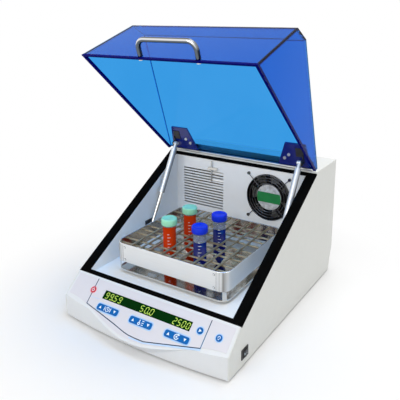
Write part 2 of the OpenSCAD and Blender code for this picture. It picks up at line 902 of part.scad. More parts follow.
module drive_frame() {
    px = frame_hw;
    y0 = crank_y - frame_before;
    y1 = crank_y + frame_behind;
    post_in = frame_post_in;
    color("lightsteelblue") place() difference() {
        union() {
            block([-px, y0, frame_z], [px, y1, frame_z + frame_t]);
            for (x = [-px + post_in, px - post_in], y = [y0 + post_in, y1 - post_in])
                translate([x, y, base_top]) cylinder(h = frame_z - base_top + 0.5, r = frame_post_r);
        }
        translate([main[0], main[1], frame_z - eps]) cylinder(h = frame_t + 2 * eps, r = shaft_r + 2);
        for (p = idlers)
            translate([p[0], p[1], frame_z - eps]) cylinder(h = frame_t + 2 * eps, r = pin_r + 2);
        translate([motor_x, motor_y, frame_z - eps]) cylinder(h = frame_t + 2 * eps, r = motor_nose_r + 1);
    }
}

module bearing_housings() {
    color("lightgray") place() {
        translate([main[0], main[1], main_low])
            ring(frame_z - main_low, main_race_r + main_housing_wall, main_race_r + bearing_gap);
        translate([main[0], main[1], frame_z - housing_flange_t])
            ring(housing_flange_t, main_flange_r, main_race_r + main_housing_wall / 2);
        for (p = idlers) {
            translate([p[0], p[1], idler_low])
                ring(frame_z - idler_low, idler_race_r + idler_housing_wall, idler_race_r + bearing_gap);
            translate([p[0], p[1], frame_z - housing_flange_t])
                ring(housing_flange_t, idler_flange_r, idler_race_r + idler_housing_wall / 2);
        }
    }
}

module shaft_bearings() {
    color("gainsboro") place() {
        for (z = [main_low + race_inset, frame_z - main_race_h - race_inset])
            translate([main[0], main[1], z]) ring(main_race_h, main_race_r, shaft_r + run_fit);
        for (p = idlers, z = [idler_low + race_inset, frame_z - idler_race_h - race_inset])
            translate([p[0], p[1], z]) ring(idler_race_h, idler_race_r, pin_r + run_fit);
    }
}

// Crank: shaft, disc and eccentric pin, drawn at its own axis
module crank(shaft, low, pin, disc_r, pin_top) {
    translate([0, 0, low]) cylinder(h = disc_z - low + eps, r = shaft);
    translate([0, 0, disc_z]) cylinder(h = disc_t, r = disc_r);
    translate([pin_off[0], pin_off[1], disc_z]) cylinder(h = pin_top - disc_z, r = pin);
}

pin_top = tray_z - 1;

module crank_shaft() {
    color("silver") place() translate([main[0], main[1], 0]) {
        crank(shaft_r, 13, pin_r + 1, 19, pin_top);
        // Counterweight on the side away from the pin
        translate([0, 0, disc_z]) rotate([0, 0, orbit_at - 90]) intersection() {
            cylinder(h = disc_t, r = weight_r);
            translate([-weight_r, -weight_r, 0]) cube([2 * weight_r, weight_r - shaft_r - 3, disc_t]);
        }
    }
}

module idler_crank(i) {
    color("silver") place() translate([idlers[i][0], idlers[i][1], 0])
        crank(pin_r, 36.5, pin_r, 14, pin_top);
}

module idler_crank_left() { idler_crank(0); }

module idler_crank_right() { idler_crank(1); }

module idler_crank_rear() { idler_crank(2); }

// Flat belt pulley at its own axis
module pulley(track, bore, hub_top) {
    difference() {
        union() {
            translate([0, 0, track_z - flange_t]) cylinder(h = track_h + 2 * flange_t, r = track);
            for (z = [track_z - flange_t, track_z + track_h])
                translate([0, 0, z]) cylinder(h = flange_t, r = track + 4);
            translate([0, 0, track_z]) cylinder(h = hub_top - track_z, r = bore + 6);
        }
        translate([0, 0, 0]) cylinder(h = frame_z, r = bore);
    }
}

module crank_pulley() {
    color("dimgray") place() translate([main[0], main[1], 0]) pulley(pulley_r, shaft_r, 31);
}

module motor_pulley() {
    color("dimgray") place() translate([motor_x, motor_y, 0]) {
        difference() {
            pulley(motor_pulley_r, 4, 29);
        }
        translate([0, 0, 15]) cylinder(h = 21, r = 4);
    }
}

module drive_motor() {
    low = 33;
    color("slategray") place() translate([motor_x, motor_y, 0]) difference() {
        union() {
            translate([0, 0, low]) cylinder(h = frame_z - low, r = motor_r);
            translate([0, 0, frame_z - 3]) cylinder(h = 3, r = motor_r + 4);
            translate([0, 0, frame_z - eps]) cylinder(h = frame_t, r = motor_nose_r);
        }
        translate([0, 0, low - eps]) cylinder(h = 6, r = 4 + run_fit);
    }
}

// Outline of the belt's run around both pulleys, at a distance from their tracks
module belt_outline(out) {
    hull() {
        translate(main) circle(pulley_r + out, $fn = 72);
        translate([motor_x, motor_y]) circle(motor_pulley_r + out, $fn = 48);
    }
}

module drive_belt() {
    color("black") place() translate([0, 0, track_z + 0.5]) linear_extrude(track_h - 1) difference() {
        belt_outline(belt_gap + belt_t);
        belt_outline(belt_gap);
    }
}

// ---- Platform, tray and load ----

module platform_plate() {
    s = platform_side;
    y0 = tray_y - s / 2;
    boss_h = tray_z - boss_low;
    color("silver") place() difference() {
        union() {
            block([tray_x - s / 2, y0, plate_z], [tray_x + s / 2, y0 + s, plate_z + plate_t]);
            translate([pin_off[0], pin_off[1], boss_low]) {
                translate(main) cylinder(h = boss_h, r = main_boss_r);
                for (p = idlers) translate(p) cylinder(h = boss_h, r = idler_boss_r);
            }
        }
        translate([pin_off[0], pin_off[1], boss_low - eps]) {
            translate(main) cylinder(h = boss_h + 2 * eps, r = pin_r + 1 + run_fit);
            for (p = idlers) translate(p) cylinder(h = boss_h + 2 * eps, r = pin_r + run_fit);
        }
    }
}

module tray_wall(low, high, grow) {
    thin = 2 * (grow - tray_t);
    translate([tray_x, tray_y, low]) linear_extrude(high - low) difference() {
        round_rect(tray_w + 2 * grow, tray_d + 2 * grow, tray_corner + grow);
        round_rect(tray_w + thin, tray_d + thin, tray_corner + grow - tray_t);
    }
}

module shaker_tray() {
    color("silver") place() {
        translate([tray_x, tray_y, tray_z]) linear_extrude(tray_t)
            round_rect(tray_w, tray_d, tray_corner);
        tray_wall(tray_z, tray_z + tray_lip, 0);
        tray_wall(tray_top - band_h, tray_top - 1, 0);
        // Posts in the corners, with open gaps between them
        intersection() {
            tray_wall(tray_z, tray_top - 1, 0);
            for (x = [-1, 1], y = [-1, 1])
                translate([
                    tray_x + x * (tray_w / 2 - tray_corner),
                    tray_y + y * (tray_d / 2 - tray_corner),
                    tray_z
                ])
                    rotate([0, 0, atan2(y, x)]) translate([0, -post_w / 2, 0])
                        cube([tray_corner + eps, post_w, tray_top - tray_z]);
        }
    }
}

module tray_band() {
    color("gainsboro") place() {
        tray_wall(tray_top - band_h, tray_top, tray_t);
        // Rivets at the ends of the front strip
        rivet_x = tray_w / 2 - tray_corner - 6;
        for (x = [-rivet_x, rivet_x], z = [6, band_h - 7])
            translate([tray_x + x, tray_y - tray_d / 2 - tray_t, tray_top - band_h + z])
                rotate([90, 0, 0]) cylinder(h = 0.8, r = 1.8);
    }
}

module rack_springs() {
    wx = tray_w / 2 - tray_t;
    wy = tray_d / 2 - tray_t;
    color("peru") place() translate([tray_x, tray_y, 0]) for (i = [0:spring_count - 1]) {
        x = spring_at(i, tube_cols);
        y = spring_at(i, tube_rows);
        rod([x, -wy, spring_upper], [x, wy, spring_upper], spring_r);
        rod([-wx, y, spring_lower], [wx, y, spring_lower], spring_r);
    }
}

// Places something at each sample tube
module each_tube() {
    for (c = tube_cols, r = tube_rows)
        translate([tray_x + c * spring_pitch, tray_y + r * spring_pitch, tray_z + tray_t]) children();
}

module sample_tubes() {
    tip = 16;
    color("orangered") place() each_tube() rotate_extrude() polygon([
        [0, 0], [4, 0], [sample_r, tip], [sample_r, sample_h - cap_h], [0, sample_h - cap_h]
    ]);
}

module tube_caps() {
    color("royalblue") place() each_tube() translate([0, 0, sample_h - cap_h]) rotate_extrude() polygon([
        [0, 0], [cap_r - 0.5, 0], [cap_r, 1], [cap_r, cap_h - 3], [cap_r - 1.5, cap_h], [0, cap_h]
    ]);
}

// ---- Hood ----

module hood_slab(outline) {
    opened() slab(-hw, hw, outline);
}

module lid_front_panel() {
    color("royalblue", 0.6) place() hood_slab([
        [sill_y, rim_z], [sill_y, hood_front_top], inner_low,
        [sill_y + hood_t, slope_z(sill_y + hood_t, rim_gap)]
    ]);
}

module lid_bevel_panel() {
    color("royalblue", 0.6) place()
        hood_slab([[sill_y, hood_front_top], [bevel_back, hood_top], inner_high, inner_low]);
}

module lid_top_panel() {
    color("royalblue", 0.6) place()
        hood_slab([[bevel_back, hood_top], [hood_end, hood_top], [hood_end, hood_top - hood_t], inner_high]);
}

module lid_side_panels() {
    y0 = sill_y + hood_t;
    y1 = hood_end;
    outline = [
        [y0, slope_z(y0, rim_gap)], inner_low, inner_high,
        [y1, hood_top - hood_t], [y1, slope_z(y1, rim_gap)]
    ];
    color("royalblue", 0.6) place() opened() {
        slab(-hw, -hw + hood_t, outline);
        slab(hw - hood_t, hw, outline);
    }
}

knuckle_w = (body_w - 20) / knuckle_count;

// Knuckles of one leaf: first 0 for the casing's, 1 for the hood's
module knuckles(first) {
    for (i = [first:2:knuckle_count - 1])
        translate([-hw + 10 + i * knuckle_w + 0.2, hinge_y, hinge_z]) rotate([0, 90, 0])
            cylinder(h = knuckle_w - 0.4, r = knuckle_r);
}

// Tongues that join a leaf to its own knuckles
module tongues(first, low, high) {
    for (i = [first:2:knuckle_count - 1]) {
        x = -hw + 10 + i * knuckle_w + 0.2;
        block([x, low[0], low[1]], [x + knuckle_w - 0.4, high[0], high[1]]);
    }
}

module hinge_bore(r) {
    translate([-hw - eps, hinge_y, hinge_z]) rotate([0, 90, 0]) cylinder(h = body_w + 2 * eps, r = r);
}

module hinge_body_leaf() {
    x = hw - 10.2;
    color("gainsboro") place() difference() {
        union() {
            block([-x, hinge_y + knuckle_r + 1, rear_h], [x, hinge_y + 18, rear_h + leaf_t]);
            knuckles(0);
            tongues(0, [hinge_y, rear_h], [hinge_y + knuckle_r + 2, rear_h + leaf_t + 0.3]);
        }
        hinge_bore(hinge_pin_r);
    }
}

module hinge_lid_leaf() {
    x = hw - 10.2;
    color("gainsboro") place() opened() difference() {
        union() {
            block([-x, hinge_y - 20, hood_top], [x, hinge_y + 1.5, hood_top + leaf_t]);
            knuckles(1);
            tongues(1, [hinge_y - 1.5, hinge_z], [hinge_y + 1.5, hood_top + leaf_t]);
        }
        hinge_bore(hinge_pin_r + run_fit);
    }
}

module hinge_pin() {
    color("silver") place() translate([-hw + 10.2, hinge_y, hinge_z]) rotate([0, 90, 0])
        cylinder(h = body_w - 20.4, r = hinge_pin_r);
}

handle_z = rim_z + handle_rim;

module lid_handle() {
    leg = handle_out - handle_bend;
    color("silver") place() opened() translate([handle_x, sill_y, handle_z]) rotate([90, 0, 0]) {
        for (s = [-1, 1]) {
            translate([s * handle_w / 2, 0, 0]) cylinder(h = leg, r = handle_r);
            translate([s * (handle_w / 2 - handle_bend), 0, leg]) rotate([90, 0, 0])
                rotate([0, 0, s > 0 ? 0 : 90]) rotate_extrude(angle = 90)
                    translate([handle_bend, 0]) circle(handle_r, $fn = 48);
        }
        translate([-handle_w / 2 + handle_bend, 0, handle_out]) rotate([0, 90, 0])
            cylinder(h = handle_w - 2 * handle_bend, r = handle_r);
    }
}

module lid_screws() {
    inside = sill_y + hood_t;
    head = 2.5;
    face = hood_top - hood_t - pad_t;
    color("gray") place() opened() for (s = [-1, 1]) {
        translate([handle_x + s * handle_w / 2, inside, handle_z]) rotate([-90, 0, 0])
            cylinder(h = head, r = 5);
        for (p = [[pad_low_x + 18, 26], [pad_low_x + 29, 36]])
            translate([s * p[0], hinge_y - p[1], face - head]) cylinder(h = head, r = 3.5);
    }
}

pad_t = 4;
pad_low_x = strut_x - 57;
pad_far = 66;
pad_near = 7;

module strut_pads() {
    color("navy") place() opened() for (s = [-1, 1])
        translate([0, 0, hood_top - hood_t - pad_t]) linear_extrude(pad_t) polygon([
            [s * pad_low_x, hinge_y - pad_near], [s * (hw - hood_t - 10), hinge_y - pad_near],
            [s * (hw - hood_t - 17), hinge_y - pad_far], [s * (pad_low_x + 22), hinge_y - pad_far]
        ]);
}

module strut_ball_studs() {
    ear_t = 2.5;
    ear_x = strut_x + 5 + ear_t / 2;
    plate_w = 18;
    plate_t2 = 1.5;
    plate_x = ear_x + ear_t / 2 - plate_w / 2;
    top = hood_top - hood_t - pad_t;
    color("silver") place() opened() for (s = [-1, 1]) {
        // Plate on the pad, clear of the swinging eye
        translate([s * plate_x, stud_y - 20.5, top - plate_t2 / 2])
            cube([plate_w, 22, plate_t2], center = true);
        translate([s * ear_x - ear_t / 2, stud_y - 5, stud_z - 5]) cube([ear_t, 10, top - stud_z + 5]);
        translate([s * ear_x - ear_t / 2, stud_y - 15.5, top - 4]) cube([ear_t, 20, 4]);
        rod([s * ear_x, stud_y, stud_z], [s * (strut_x + eye_w / 2 + 0.6), stud_y, stud_z], stud_r);
    }
}

module strut_wall_brackets() {
    wall_x = chamber_hw - 1;
    head = strut_x - eye_w / 2 - 0.5;
    color("dimgray") place() translate([0, pivot_y, pivot_z]) for (s = [-1, 1]) {
        translate([s * wall_x, 0, 0]) cube([2, 26, 20], center = true);
        rod([s * wall_x, 0, 0], [s * (head - 1.5), 0, 0], stud_r);
        rod([s * head, 0, 0], [s * (head - 1.5), 0, 0], 4.5);
    }
}

module strut_rod(side) {
    reach = strut_len - tube_len + 80;
    color("gainsboro") place() along_strut(side) difference() {
        union() {
            rotate([0, 90, 0]) translate([0, 0, -eye_w / 2]) cylinder(h = eye_w, r = eye_r);
            translate([0, 0, 3]) cylinder(h = reach - 3, r = rod_r);
        }
        rotate([0, 90, 0]) translate([0, 0, -eye_w]) cylinder(h = 2 * eye_w, r = stud_r + run_fit);
    }
}

module strut_tube(side) {
    low = strut_len - tube_len;
    high = strut_len - neck_len;
    color("silver") place() along_strut(side) difference() {
        union() {
            translate([0, 0, low]) cylinder(h = high - low, r = tube_r);
            translate([0, 0, high - 1]) cylinder(h = neck_len - eye_r + 2, r = neck_r);
            translate([-eye_w / 2, 0, strut_len]) rotate([0, 90, 0]) cylinder(h = eye_w, r = eye_r);
        }
        translate([0, 0, low - eps]) cylinder(h = tube_len - 18, r = rod_r + run_fit);
    }
}

module left_strut_rod() { strut_rod(-1); }

module left_strut_tube() { strut_tube(-1); }

module right_strut_rod() { strut_rod(1); }

module right_strut_tube() { strut_tube(1); }

base_plate();
rubber_feet();
outer_casing();
rear_panel();
casing_screws();
front_fascia();
control_overlay();
display_module();
control_board();
lid_gasket();
chamber_liner();
chamber_back_wall();
wall_insulation();
fan_frame();
fan_guard();
fan_impeller();
heater_element();
temperature_probe();
drive_frame();
bearing_housings();
shaft_bearings();
drive_motor();
motor_pulley();
drive_belt();
crank_pulley();
crank_shaft();
idler_crank_left();
idler_crank_right();
idler_crank_rear();
platform_plate();
shaker_tray();
tray_band();
rack_springs();
sample_tubes();
tube_caps();
switch_housing();
power_rocker();
power_inlet();
hinge_body_leaf();
hinge_pin();
hinge_lid_leaf();
strut_wall_brackets();
lid_front_panel();
lid_bevel_panel();
lid_top_panel();
lid_side_panels();
lid_handle();
lid_screws();
strut_pads();
strut_ball_studs();
left_strut_rod();
left_strut_tube();
right_strut_rod();
right_strut_tube();
timer_key();
temperature_key();
speed_key();
start_key();
light_key();
standby_key();
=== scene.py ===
"""Benchtop incubator shaker with its hood open: materials, fine pieces, light and camera."""
import math

import bpy
from mathutils import Matrix, Vector


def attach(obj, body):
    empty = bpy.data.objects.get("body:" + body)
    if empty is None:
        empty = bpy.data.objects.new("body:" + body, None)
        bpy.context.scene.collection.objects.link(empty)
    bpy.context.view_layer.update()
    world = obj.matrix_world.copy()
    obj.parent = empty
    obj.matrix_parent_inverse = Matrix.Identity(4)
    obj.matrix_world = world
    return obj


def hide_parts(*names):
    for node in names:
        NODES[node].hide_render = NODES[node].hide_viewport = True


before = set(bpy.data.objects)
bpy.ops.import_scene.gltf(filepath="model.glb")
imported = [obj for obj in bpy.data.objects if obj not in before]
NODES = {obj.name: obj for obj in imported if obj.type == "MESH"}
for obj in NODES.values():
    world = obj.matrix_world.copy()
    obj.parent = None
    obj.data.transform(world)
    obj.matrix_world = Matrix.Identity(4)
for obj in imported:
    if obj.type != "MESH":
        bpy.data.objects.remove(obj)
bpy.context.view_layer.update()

# ------------------------------------------------------------------ the part's own sizes, in mm
# x runs across from the middle, y to the rear and z up from the table.
MM = 0.001
HALF_W = 200.0
# Middle of the whole depth, where the shared frame has its y = 0
MID_Y = 240.7115
# The control panel climbs from the skirt to the sill, the chamber's opening from there to the hinge
SKIRT_H = 50.0
SILL_Y, SILL_Z = 44.0, 86.0
PANEL_ANGLE = math.radians(40)
SLOPE_ANGLE = math.radians(29.7)
SLOPE_RISE = 194
HINGE_Z = 287.0
HOOD_OPEN = math.radians(71.5)
HOOD_TOP = 291.0
HOOD_T = 5.0
# Gap between the closed hood's rim and the seal, square to the slope
RIM_GAP = 0.4
CRANK_Y = 216.559
ORBIT_R = 5

PANEL_LEN = (SILL_Z - SKIRT_H) / math.sin(PANEL_ANGLE)
PANEL_Y = SILL_Y - PANEL_LEN * math.cos(PANEL_ANGLE)
SLOPE_LEN = SLOPE_RISE / math.sin(SLOPE_ANGLE)
HINGE_Y = SILL_Y + SLOPE_LEN * math.cos(SLOPE_ANGLE)
# Section of the hood: top of its front, start of its top and end of its top
FRONT_TOP = HOOD_TOP - 33.0
BEVEL_Y = SILL_Y + 36.0
HOOD_END = HINGE_Y - 4.0
# The cranks rest with the platform at the rear of its orbit
TRAY_AT = (0.0, CRANK_Y + ORBIT_R)

UP, ACROSS, FORTH = Vector((0, 0, 1)), Vector((1, 0, 0)), Vector((0, -1, 0))
# Radius of the ring that closes a turned shape on its axis
POINT_R = 0.01


def point(x, y, z):
    """A point of the part, in mm, as metres in the shared frame."""
    return Vector((x * MM, (y - MID_Y) * MM, z * MM))


def on_panel(x, s, n):
    """x across, s up the control panel's slope and n out of it."""
    return point(x, PANEL_Y + s * math.cos(PANEL_ANGLE) - n * math.sin(PANEL_ANGLE),
                 SKIRT_H + s * math.sin(PANEL_ANGLE) + n * math.cos(PANEL_ANGLE))


def on_hood(x, y, z):
    """A point of the closed hood, turned to its open place."""
    dy, dz = y - HINGE_Y, z - HINGE_Z
    cos, sin = math.cos(HOOD_OPEN), math.sin(HOOD_OPEN)
    return point(x, HINGE_Y + dy * cos + dz * sin, HINGE_Z - dy * sin + dz * cos)


def slope_z(y, n):
    """Height of the chamber's slope at y, raised by n square to it."""
    return SILL_Z + (y - SILL_Y) * math.tan(SLOPE_ANGLE) + n / math.cos(SLOPE_ANGLE)


# ------------------------------------------------------------------ meshes
def mesh(name, shape, mat, body, smooth=False):
    """A new object of (verts, faces) with one material; it rides on a body, or on none."""
    verts, faces = shape
    data = bpy.data.meshes.new(name)
    data.from_pydata([tuple(v) for v in verts], [], faces)
    data.update()
    if smooth:
        for face in data.polygons:
            face.use_smooth = True
    ob = bpy.data.objects.new(name, data)
    bpy.context.scene.collection.objects.link(ob)
    data.materials.append(mat)
    if body:
        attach(ob, body)
    return ob


def bevel(ob, width):
    """Rounds the sharp edges of a CAD node by width mm."""
    edge = ob.modifiers.new("edge", "BEVEL")
    edge.width = width * MM
    edge.segments = 2
    edge.limit_method = "ANGLE"
    edge.angle_limit = math.radians(40)
    edge.harden_normals = False


def skin(rings, first=True, last=True):
    """Verts and faces over closed rings of as many points each, with the end rings filled."""
    steps = len(rings[0])
    verts = [p for one in rings for p in one]
    faces = []
    for i in range(len(rings) - 1):
        for k in range(steps):
            j = (k + 1) % steps
            faces.append((i * steps + k, i * steps + j, (i + 1) * steps + j, (i + 1) * steps + k))
    if first:
        faces.append(tuple(reversed(range(steps))))
    if last:
        faces.append(tuple(range(len(verts) - steps, len(verts))))
    return verts, faces


def circle(centre, side, third, r, steps):
    """Points of a circle of radius r mm round a centre in metres."""
    turns = [2 * math.pi * k / steps for k in range(steps)]
    return [centre + (side * math.cos(a) + third * math.sin(a)) * (r * MM) for a in turns]


def lathe(profile, foot, axis, steps, close=True):
    """A turned shape: profile holds (radius, height) pairs in mm along an axis from its foot."""
    third = axis.cross(ACROSS)
    return skin([circle(foot + axis * (h * MM), ACROSS, third, r, steps) for r, h in profile],
                close, close)


def tube(path, r, steps):
    """A round tube of radius r mm along points in metres."""
    rings, side = [], None
    for i, p in enumerate(path):
        along = (path[min(i + 1, len(path) - 1)] - path[max(i - 1, 0)]).normalized()
        if side is None:
            side = along.orthogonal().normalized()
        side = (side - along * side.dot(along)).normalized()
        rings.append(circle(p, side, along.cross(side), r, steps))
    return skin(rings)


def prism(outline, place, low, high):
    """An outline [(a, b)] raised from low to high through place(a, b, h)."""
    return skin([[place(a, b, h) for a, b in outline] for h in (low, high)])


def join(shapes):
    """One verts and faces list from several."""
    verts, faces = [], []
    for some_verts, some_faces in shapes:
        base = len(verts)
        verts += list(some_verts)
        faces += [tuple(base + i for i in face) for face in some_faces]
    return verts, faces


def round_rect(w, h, r, steps=8, at=(0, 0)):
    """Outline of a rectangle with round corners."""
    out = []
    for cx, cy, start in ((w / 2 - r, h / 2 - r, 0), (-w / 2 + r, h / 2 - r, 90),
                          (-w / 2 + r, -h / 2 + r, 180), (w / 2 - r, -h / 2 + r, 270)):
        for k in range(steps + 1):
            a = math.radians(start + 90 * k / steps)
            out.append((at[0] + cx + r * math.cos(a), at[1] + cy + r * math.sin(a)))
    return out


def ribbon(points, width, place, n):
    """A flat mitred line of a width along (a, b) points."""
    count = len(points)
    left, right = [], []
    for i in range(count):
        before, after = Vector(points[max(i - 1, 0)]), Vector(points[min(i + 1, count - 1)])
        here = Vector(points[i])
        along = (after - before).normalized()
        first = (here - before).normalized() if i else along
        mitre = 1 / max(0.5, along.dot(first))
        off = Vector((-along.y, along.x)) * (width / 2 * mitre)
        left.append(here + off)
        right.append(here - off)
    verts = [place(p.x, p.y, n) for p in left] + [place(p.x, p.y, n) for p in right]
    return verts, [(i, count + i, count + i + 1, i + 1) for i in range(count - 1)]


def ring(x, s, r, width, place, n, start=0.0, turn=360.0):
    """A flat arc of a width round (x, s)."""
    steps = 32
    verts = []
    for k in range(steps + 1):
        a = math.radians(start + turn * k / steps)
        for edge in (r - width / 2, r + width / 2):
            verts.append(place(x + edge * math.cos(a), s + edge * math.sin(a), n))
    return verts, [(2 * k, 2 * k + 1, 2 * k + 3, 2 * k + 2) for k in range(steps)]


def flat(outline, place, n):
    """One flat outline."""
    return [place(a, b, n) for a, b in outline], [tuple(range(len(outline)))]


# ------------------------------------------------------------------ materials
def add(tree, kind, **values):
    """A new shader node; each value goes to the input of that name."""
    node = tree.nodes.new("ShaderNode" + kind)
    for name, value in values.items():
        node.inputs[name.replace("_", " ")].default_value = value
    return node


def wire(tree, *pairs):
    """Links each pair of sockets, from output to input."""
    for source, target in pairs:
        tree.links.new(source, target)


def new_material(name):
    """A node material with its node tree and its shader."""
    mat = bpy.data.materials.new(name)
    mat.use_nodes = True
    return mat, mat.node_tree, mat.node_tree.nodes["Principled BSDF"]


def material(name, colour, rough=0.5, metal=0.0, coat=0.0, noise=0.04, scale=60.0, bump=0.0,
             bump_scale=400.0, stretch=None, spec=0.5, transmission=0.0, ior=1.45, glow=0.0):
    """A shader whose colour drifts a little with a noise, and whose surface may be grained."""
    mat, tree, shader = new_material(name)
    for socket, value in (("Roughness", rough), ("Metallic", metal), ("Coat Weight", coat),
                          ("Specular IOR Level", spec), ("Transmission Weight", transmission),
                          ("IOR", ior)):
        shader.inputs[socket].default_value = value
    coord = add(tree, "TexCoord")
    mapping = add(tree, "Mapping")
    if stretch:
        mapping.inputs["Scale"].default_value = stretch
    clouds = add(tree, "TexNoise", Scale=scale, Detail=4.0)
    ramp = add(tree, "ValToRGB")
    low, high = ramp.color_ramp.elements
    low.position, high.position = 0.25, 0.75
    low.color = (*[max(0.0, c * (1 - noise)) for c in colour], 1)
    high.color = (*[min(1.0, c * (1 + noise)) for c in colour], 1)
    wire(tree, (coord.outputs["Object"], mapping.inputs["Vector"]),
         (mapping.outputs["Vector"], clouds.inputs["Vector"]),
         (clouds.outputs["Fac"], ramp.inputs["Fac"]),
         (ramp.outputs["Color"], shader.inputs["Base Color"]))
    if glow:
        wire(tree, (ramp.outputs["Color"], shader.inputs["Emission Color"]))
        shader.inputs["Emission Strength"].default_value = glow
    if bump:
        grain = add(tree, "TexNoise", Scale=bump_scale)
        relief = add(tree, "Bump", Strength=bump, Distance=0.0004)
        wire(tree, (mapping.outputs["Vector"], grain.inputs["Vector"]),
             (grain.outputs["Fac"], relief.inputs["Height"]),
             (relief.outputs["Normal"], shader.inputs["Normal"]))
    return mat


def paint_light_by_facing(mat, axis, stops, signed=False):
    """Paints reflections and shade into a material's colour by the way its surface faces along one axis.

    stops holds (position, red, blue) of a ramp. Unsigned, the ramp runs from square to the axis at 0
    to along it at 1. Signed, it runs from facing down the axis at 0 to facing up it at 1.
    """
    tree = mat.node_tree
    base = tree.nodes["Principled BSDF"].inputs["Base Color"]
    coord = add(tree, "TexCoord")
    split = add(tree, "SeparateXYZ")
    facing = add(tree, "Math")
    facing.operation = "MULTIPLY_ADD" if signed else "ABSOLUTE"
    facing.inputs[1].default_value = facing.inputs[2].default_value = 0.5
    ramp = add(tree, "ValToRGB")
    for k, (at, red, blue) in enumerate(stops):
        stop = ramp.color_ramp.elements[k] if k < 2 else ramp.color_ramp.elements.new(at)
        stop.position = at
        stop.color = (red, (red + blue) / 2, blue, 1)
    mix = add(tree, "Mix")
    mix.data_type = "RGBA"
    mix.blend_type = "MULTIPLY"
    mix.inputs["Factor"].default_value = 1.0
    wire(tree, (coord.outputs["Normal"], split.inputs["Vector"]),
         (split.outputs[axis], facing.inputs[0]), (facing.outputs["Value"], ramp.inputs["Fac"]),
         (base.links[0].from_socket, mix.inputs["A"]), (ramp.outputs["Color"], mix.inputs["B"]),
         (mix.outputs["Result"], base))


def coil_steel():
    """Spring wire: slanting bands along each rod read as its turns, and the bands' dark parts are painted
    shade between the turns.
    """
    mat = material("spring_wire", (0.62, 0.50, 0.33), 0.30, 0.9, noise=0.25, scale=90)
    tree = mat.node_tree
    shader = tree.nodes["Principled BSDF"]
    base = shader.inputs["Base Color"]
    coord = add(tree, "TexCoord")
    wave = add(tree, "TexWave", Scale=190.0)
    wave.bands_direction = "DIAGONAL"
    mix = add(tree, "Mix")
    mix.data_type = "RGBA"
    # Dark colour of the bands: painted shade in the gaps between the turns
    mix.inputs["A"].default_value = (0.15, 0.12, 0.08, 1)
    relief = add(tree, "Bump", Strength=0.7, Distance=0.0006)
    wire(tree, (coord.outputs["Object"], wave.inputs["Vector"]),
         (wave.outputs["Fac"], mix.inputs["Factor"]),
         (base.links[0].from_socket, mix.inputs["B"]), (mix.outputs["Result"], base),
         (wave.outputs["Fac"], relief.inputs["Height"]),
         (relief.outputs["Normal"], shader.inputs["Normal"]))
    return mat


def acrylic():
    """Clear blue sheet: smooth, tinted and see-through."""
    mat, tree, shader = new_material("hood_acrylic")
    shader.inputs["Roughness"].default_value = 0.04
    shader.inputs["IOR"].default_value = 1.12
    shader.inputs["Transmission Weight"].default_value = 1.0
    coord = add(tree, "TexCoord")
    clouds = add(tree, "TexNoise", Scale=6.0)
    ramp = add(tree, "ValToRGB")
    ramp.color_ramp.elements[0].color = (0.035, 0.31, 0.75, 1)
    ramp.color_ramp.elements[1].color = (0.050, 0.35, 0.80, 1)
    wire(tree, (coord.outputs["Object"], clouds.inputs["Vector"]),
         (clouds.outputs["Fac"], ramp.inputs["Fac"]),
         (ramp.outputs["Color"], shader.inputs["Base Color"]))
    return mat


# Casing, chamber and panel
M_CASE = material("casing_white", (0.70, 0.71, 0.68), 0.45, noise=0.012, bump=0.06, bump_scale=900)
M_FASCIA = material("fascia_white", (0.72, 0.735, 0.745), 0.4, noise=0.01, bump=0.04, bump_scale=700)
M_LINER = material("liner_white", (0.90, 0.905, 0.90), 0.42, noise=0.012, bump=0.05, bump_scale=900)
M_FILM = material("film_grey", (0.68, 0.665, 0.70), 0.5, noise=0.01)
M_RUBBER = material("seal_black", (0.002, 0.002, 0.002), 0.95, noise=0.3, bump=0.4, bump_scale=500,
                    spec=0.03)
M_BLACK = material("plastic_black", (0.012, 0.012, 0.013), 0.38, noise=0.2, bump=0.1)
M_BLUE = material("key_blue", (0.002, 0.12, 0.40), 0.4, noise=0.05, spec=0.15)
M_RED = material("key_red", (0.58, 0.008, 0.03), 0.4, noise=0.05, spec=0.3)
M_GREEN = material("display_green", (0.0003, 0.026, 0.002), 0.6, noise=0.1, spec=0.03)
M_LINE = material("line_blue", (0.012, 0.04, 0.09), 0.6, noise=0.05, spec=0.1)
M_GLOW = material("line_glow", (0.50, 0.66, 0.88), 0.5, noise=0.05)
M_HALO = material("halo_blue", (0.42, 0.64, 0.90), 0.5, noise=0.03)
M_ROSE = material("halo_rose", (0.86, 0.50, 0.55), 0.5, noise=0.03)
M_MARK = material("mark_white", (0.78, 0.90, 0.98), 0.5, noise=0.02)
M_DIGIT = material("digit_lit", (0.50, 0.72, 0.10), 0.5, noise=0.05, glow=0.35)

# Metals
M_STEEL = material("steel_satin", (0.62, 0.63, 0.64), 0.30, 1.0, noise=0.06, scale=14,
                   stretch=(1, 1, 60), bump=0.06, bump_scale=90)
M_POLISH = material("steel_polished", (0.66, 0.65, 0.62), 0.14, 1.0, noise=0.04, scale=20)
M_CHROME = material("chrome", (0.80, 0.81, 0.83), 0.07, 1.0, noise=0.02, scale=30)
M_ZINC = material("zinc", (0.52, 0.53, 0.55), 0.36, 1.0, noise=0.10, scale=90)
M_CAST = material("cast_alloy", (0.48, 0.49, 0.50), 0.4, 1.0, noise=0.06)
M_GUARD = material("guard_dark", (0.12, 0.12, 0.13), 0.16, 1.0, noise=0.05)
M_SCREW = material("screw_bright", (0.72, 0.73, 0.75), 0.32, 0.6, noise=0.05)
M_BRACKET = material("bracket_dark", (0.03, 0.03, 0.032), 0.4, 0.3, noise=0.1)
M_EDGE = material("strip_edge", (0.16, 0.16, 0.17), 0.5, 0.6, noise=0.05)
M_SPRING = coil_steel()
M_BAND = material("band_satin", (0.80, 0.81, 0.81), 0.42, 0.45, noise=0.03, scale=14,
                  stretch=(1, 1, 50), bump=0.04, bump_scale=90)
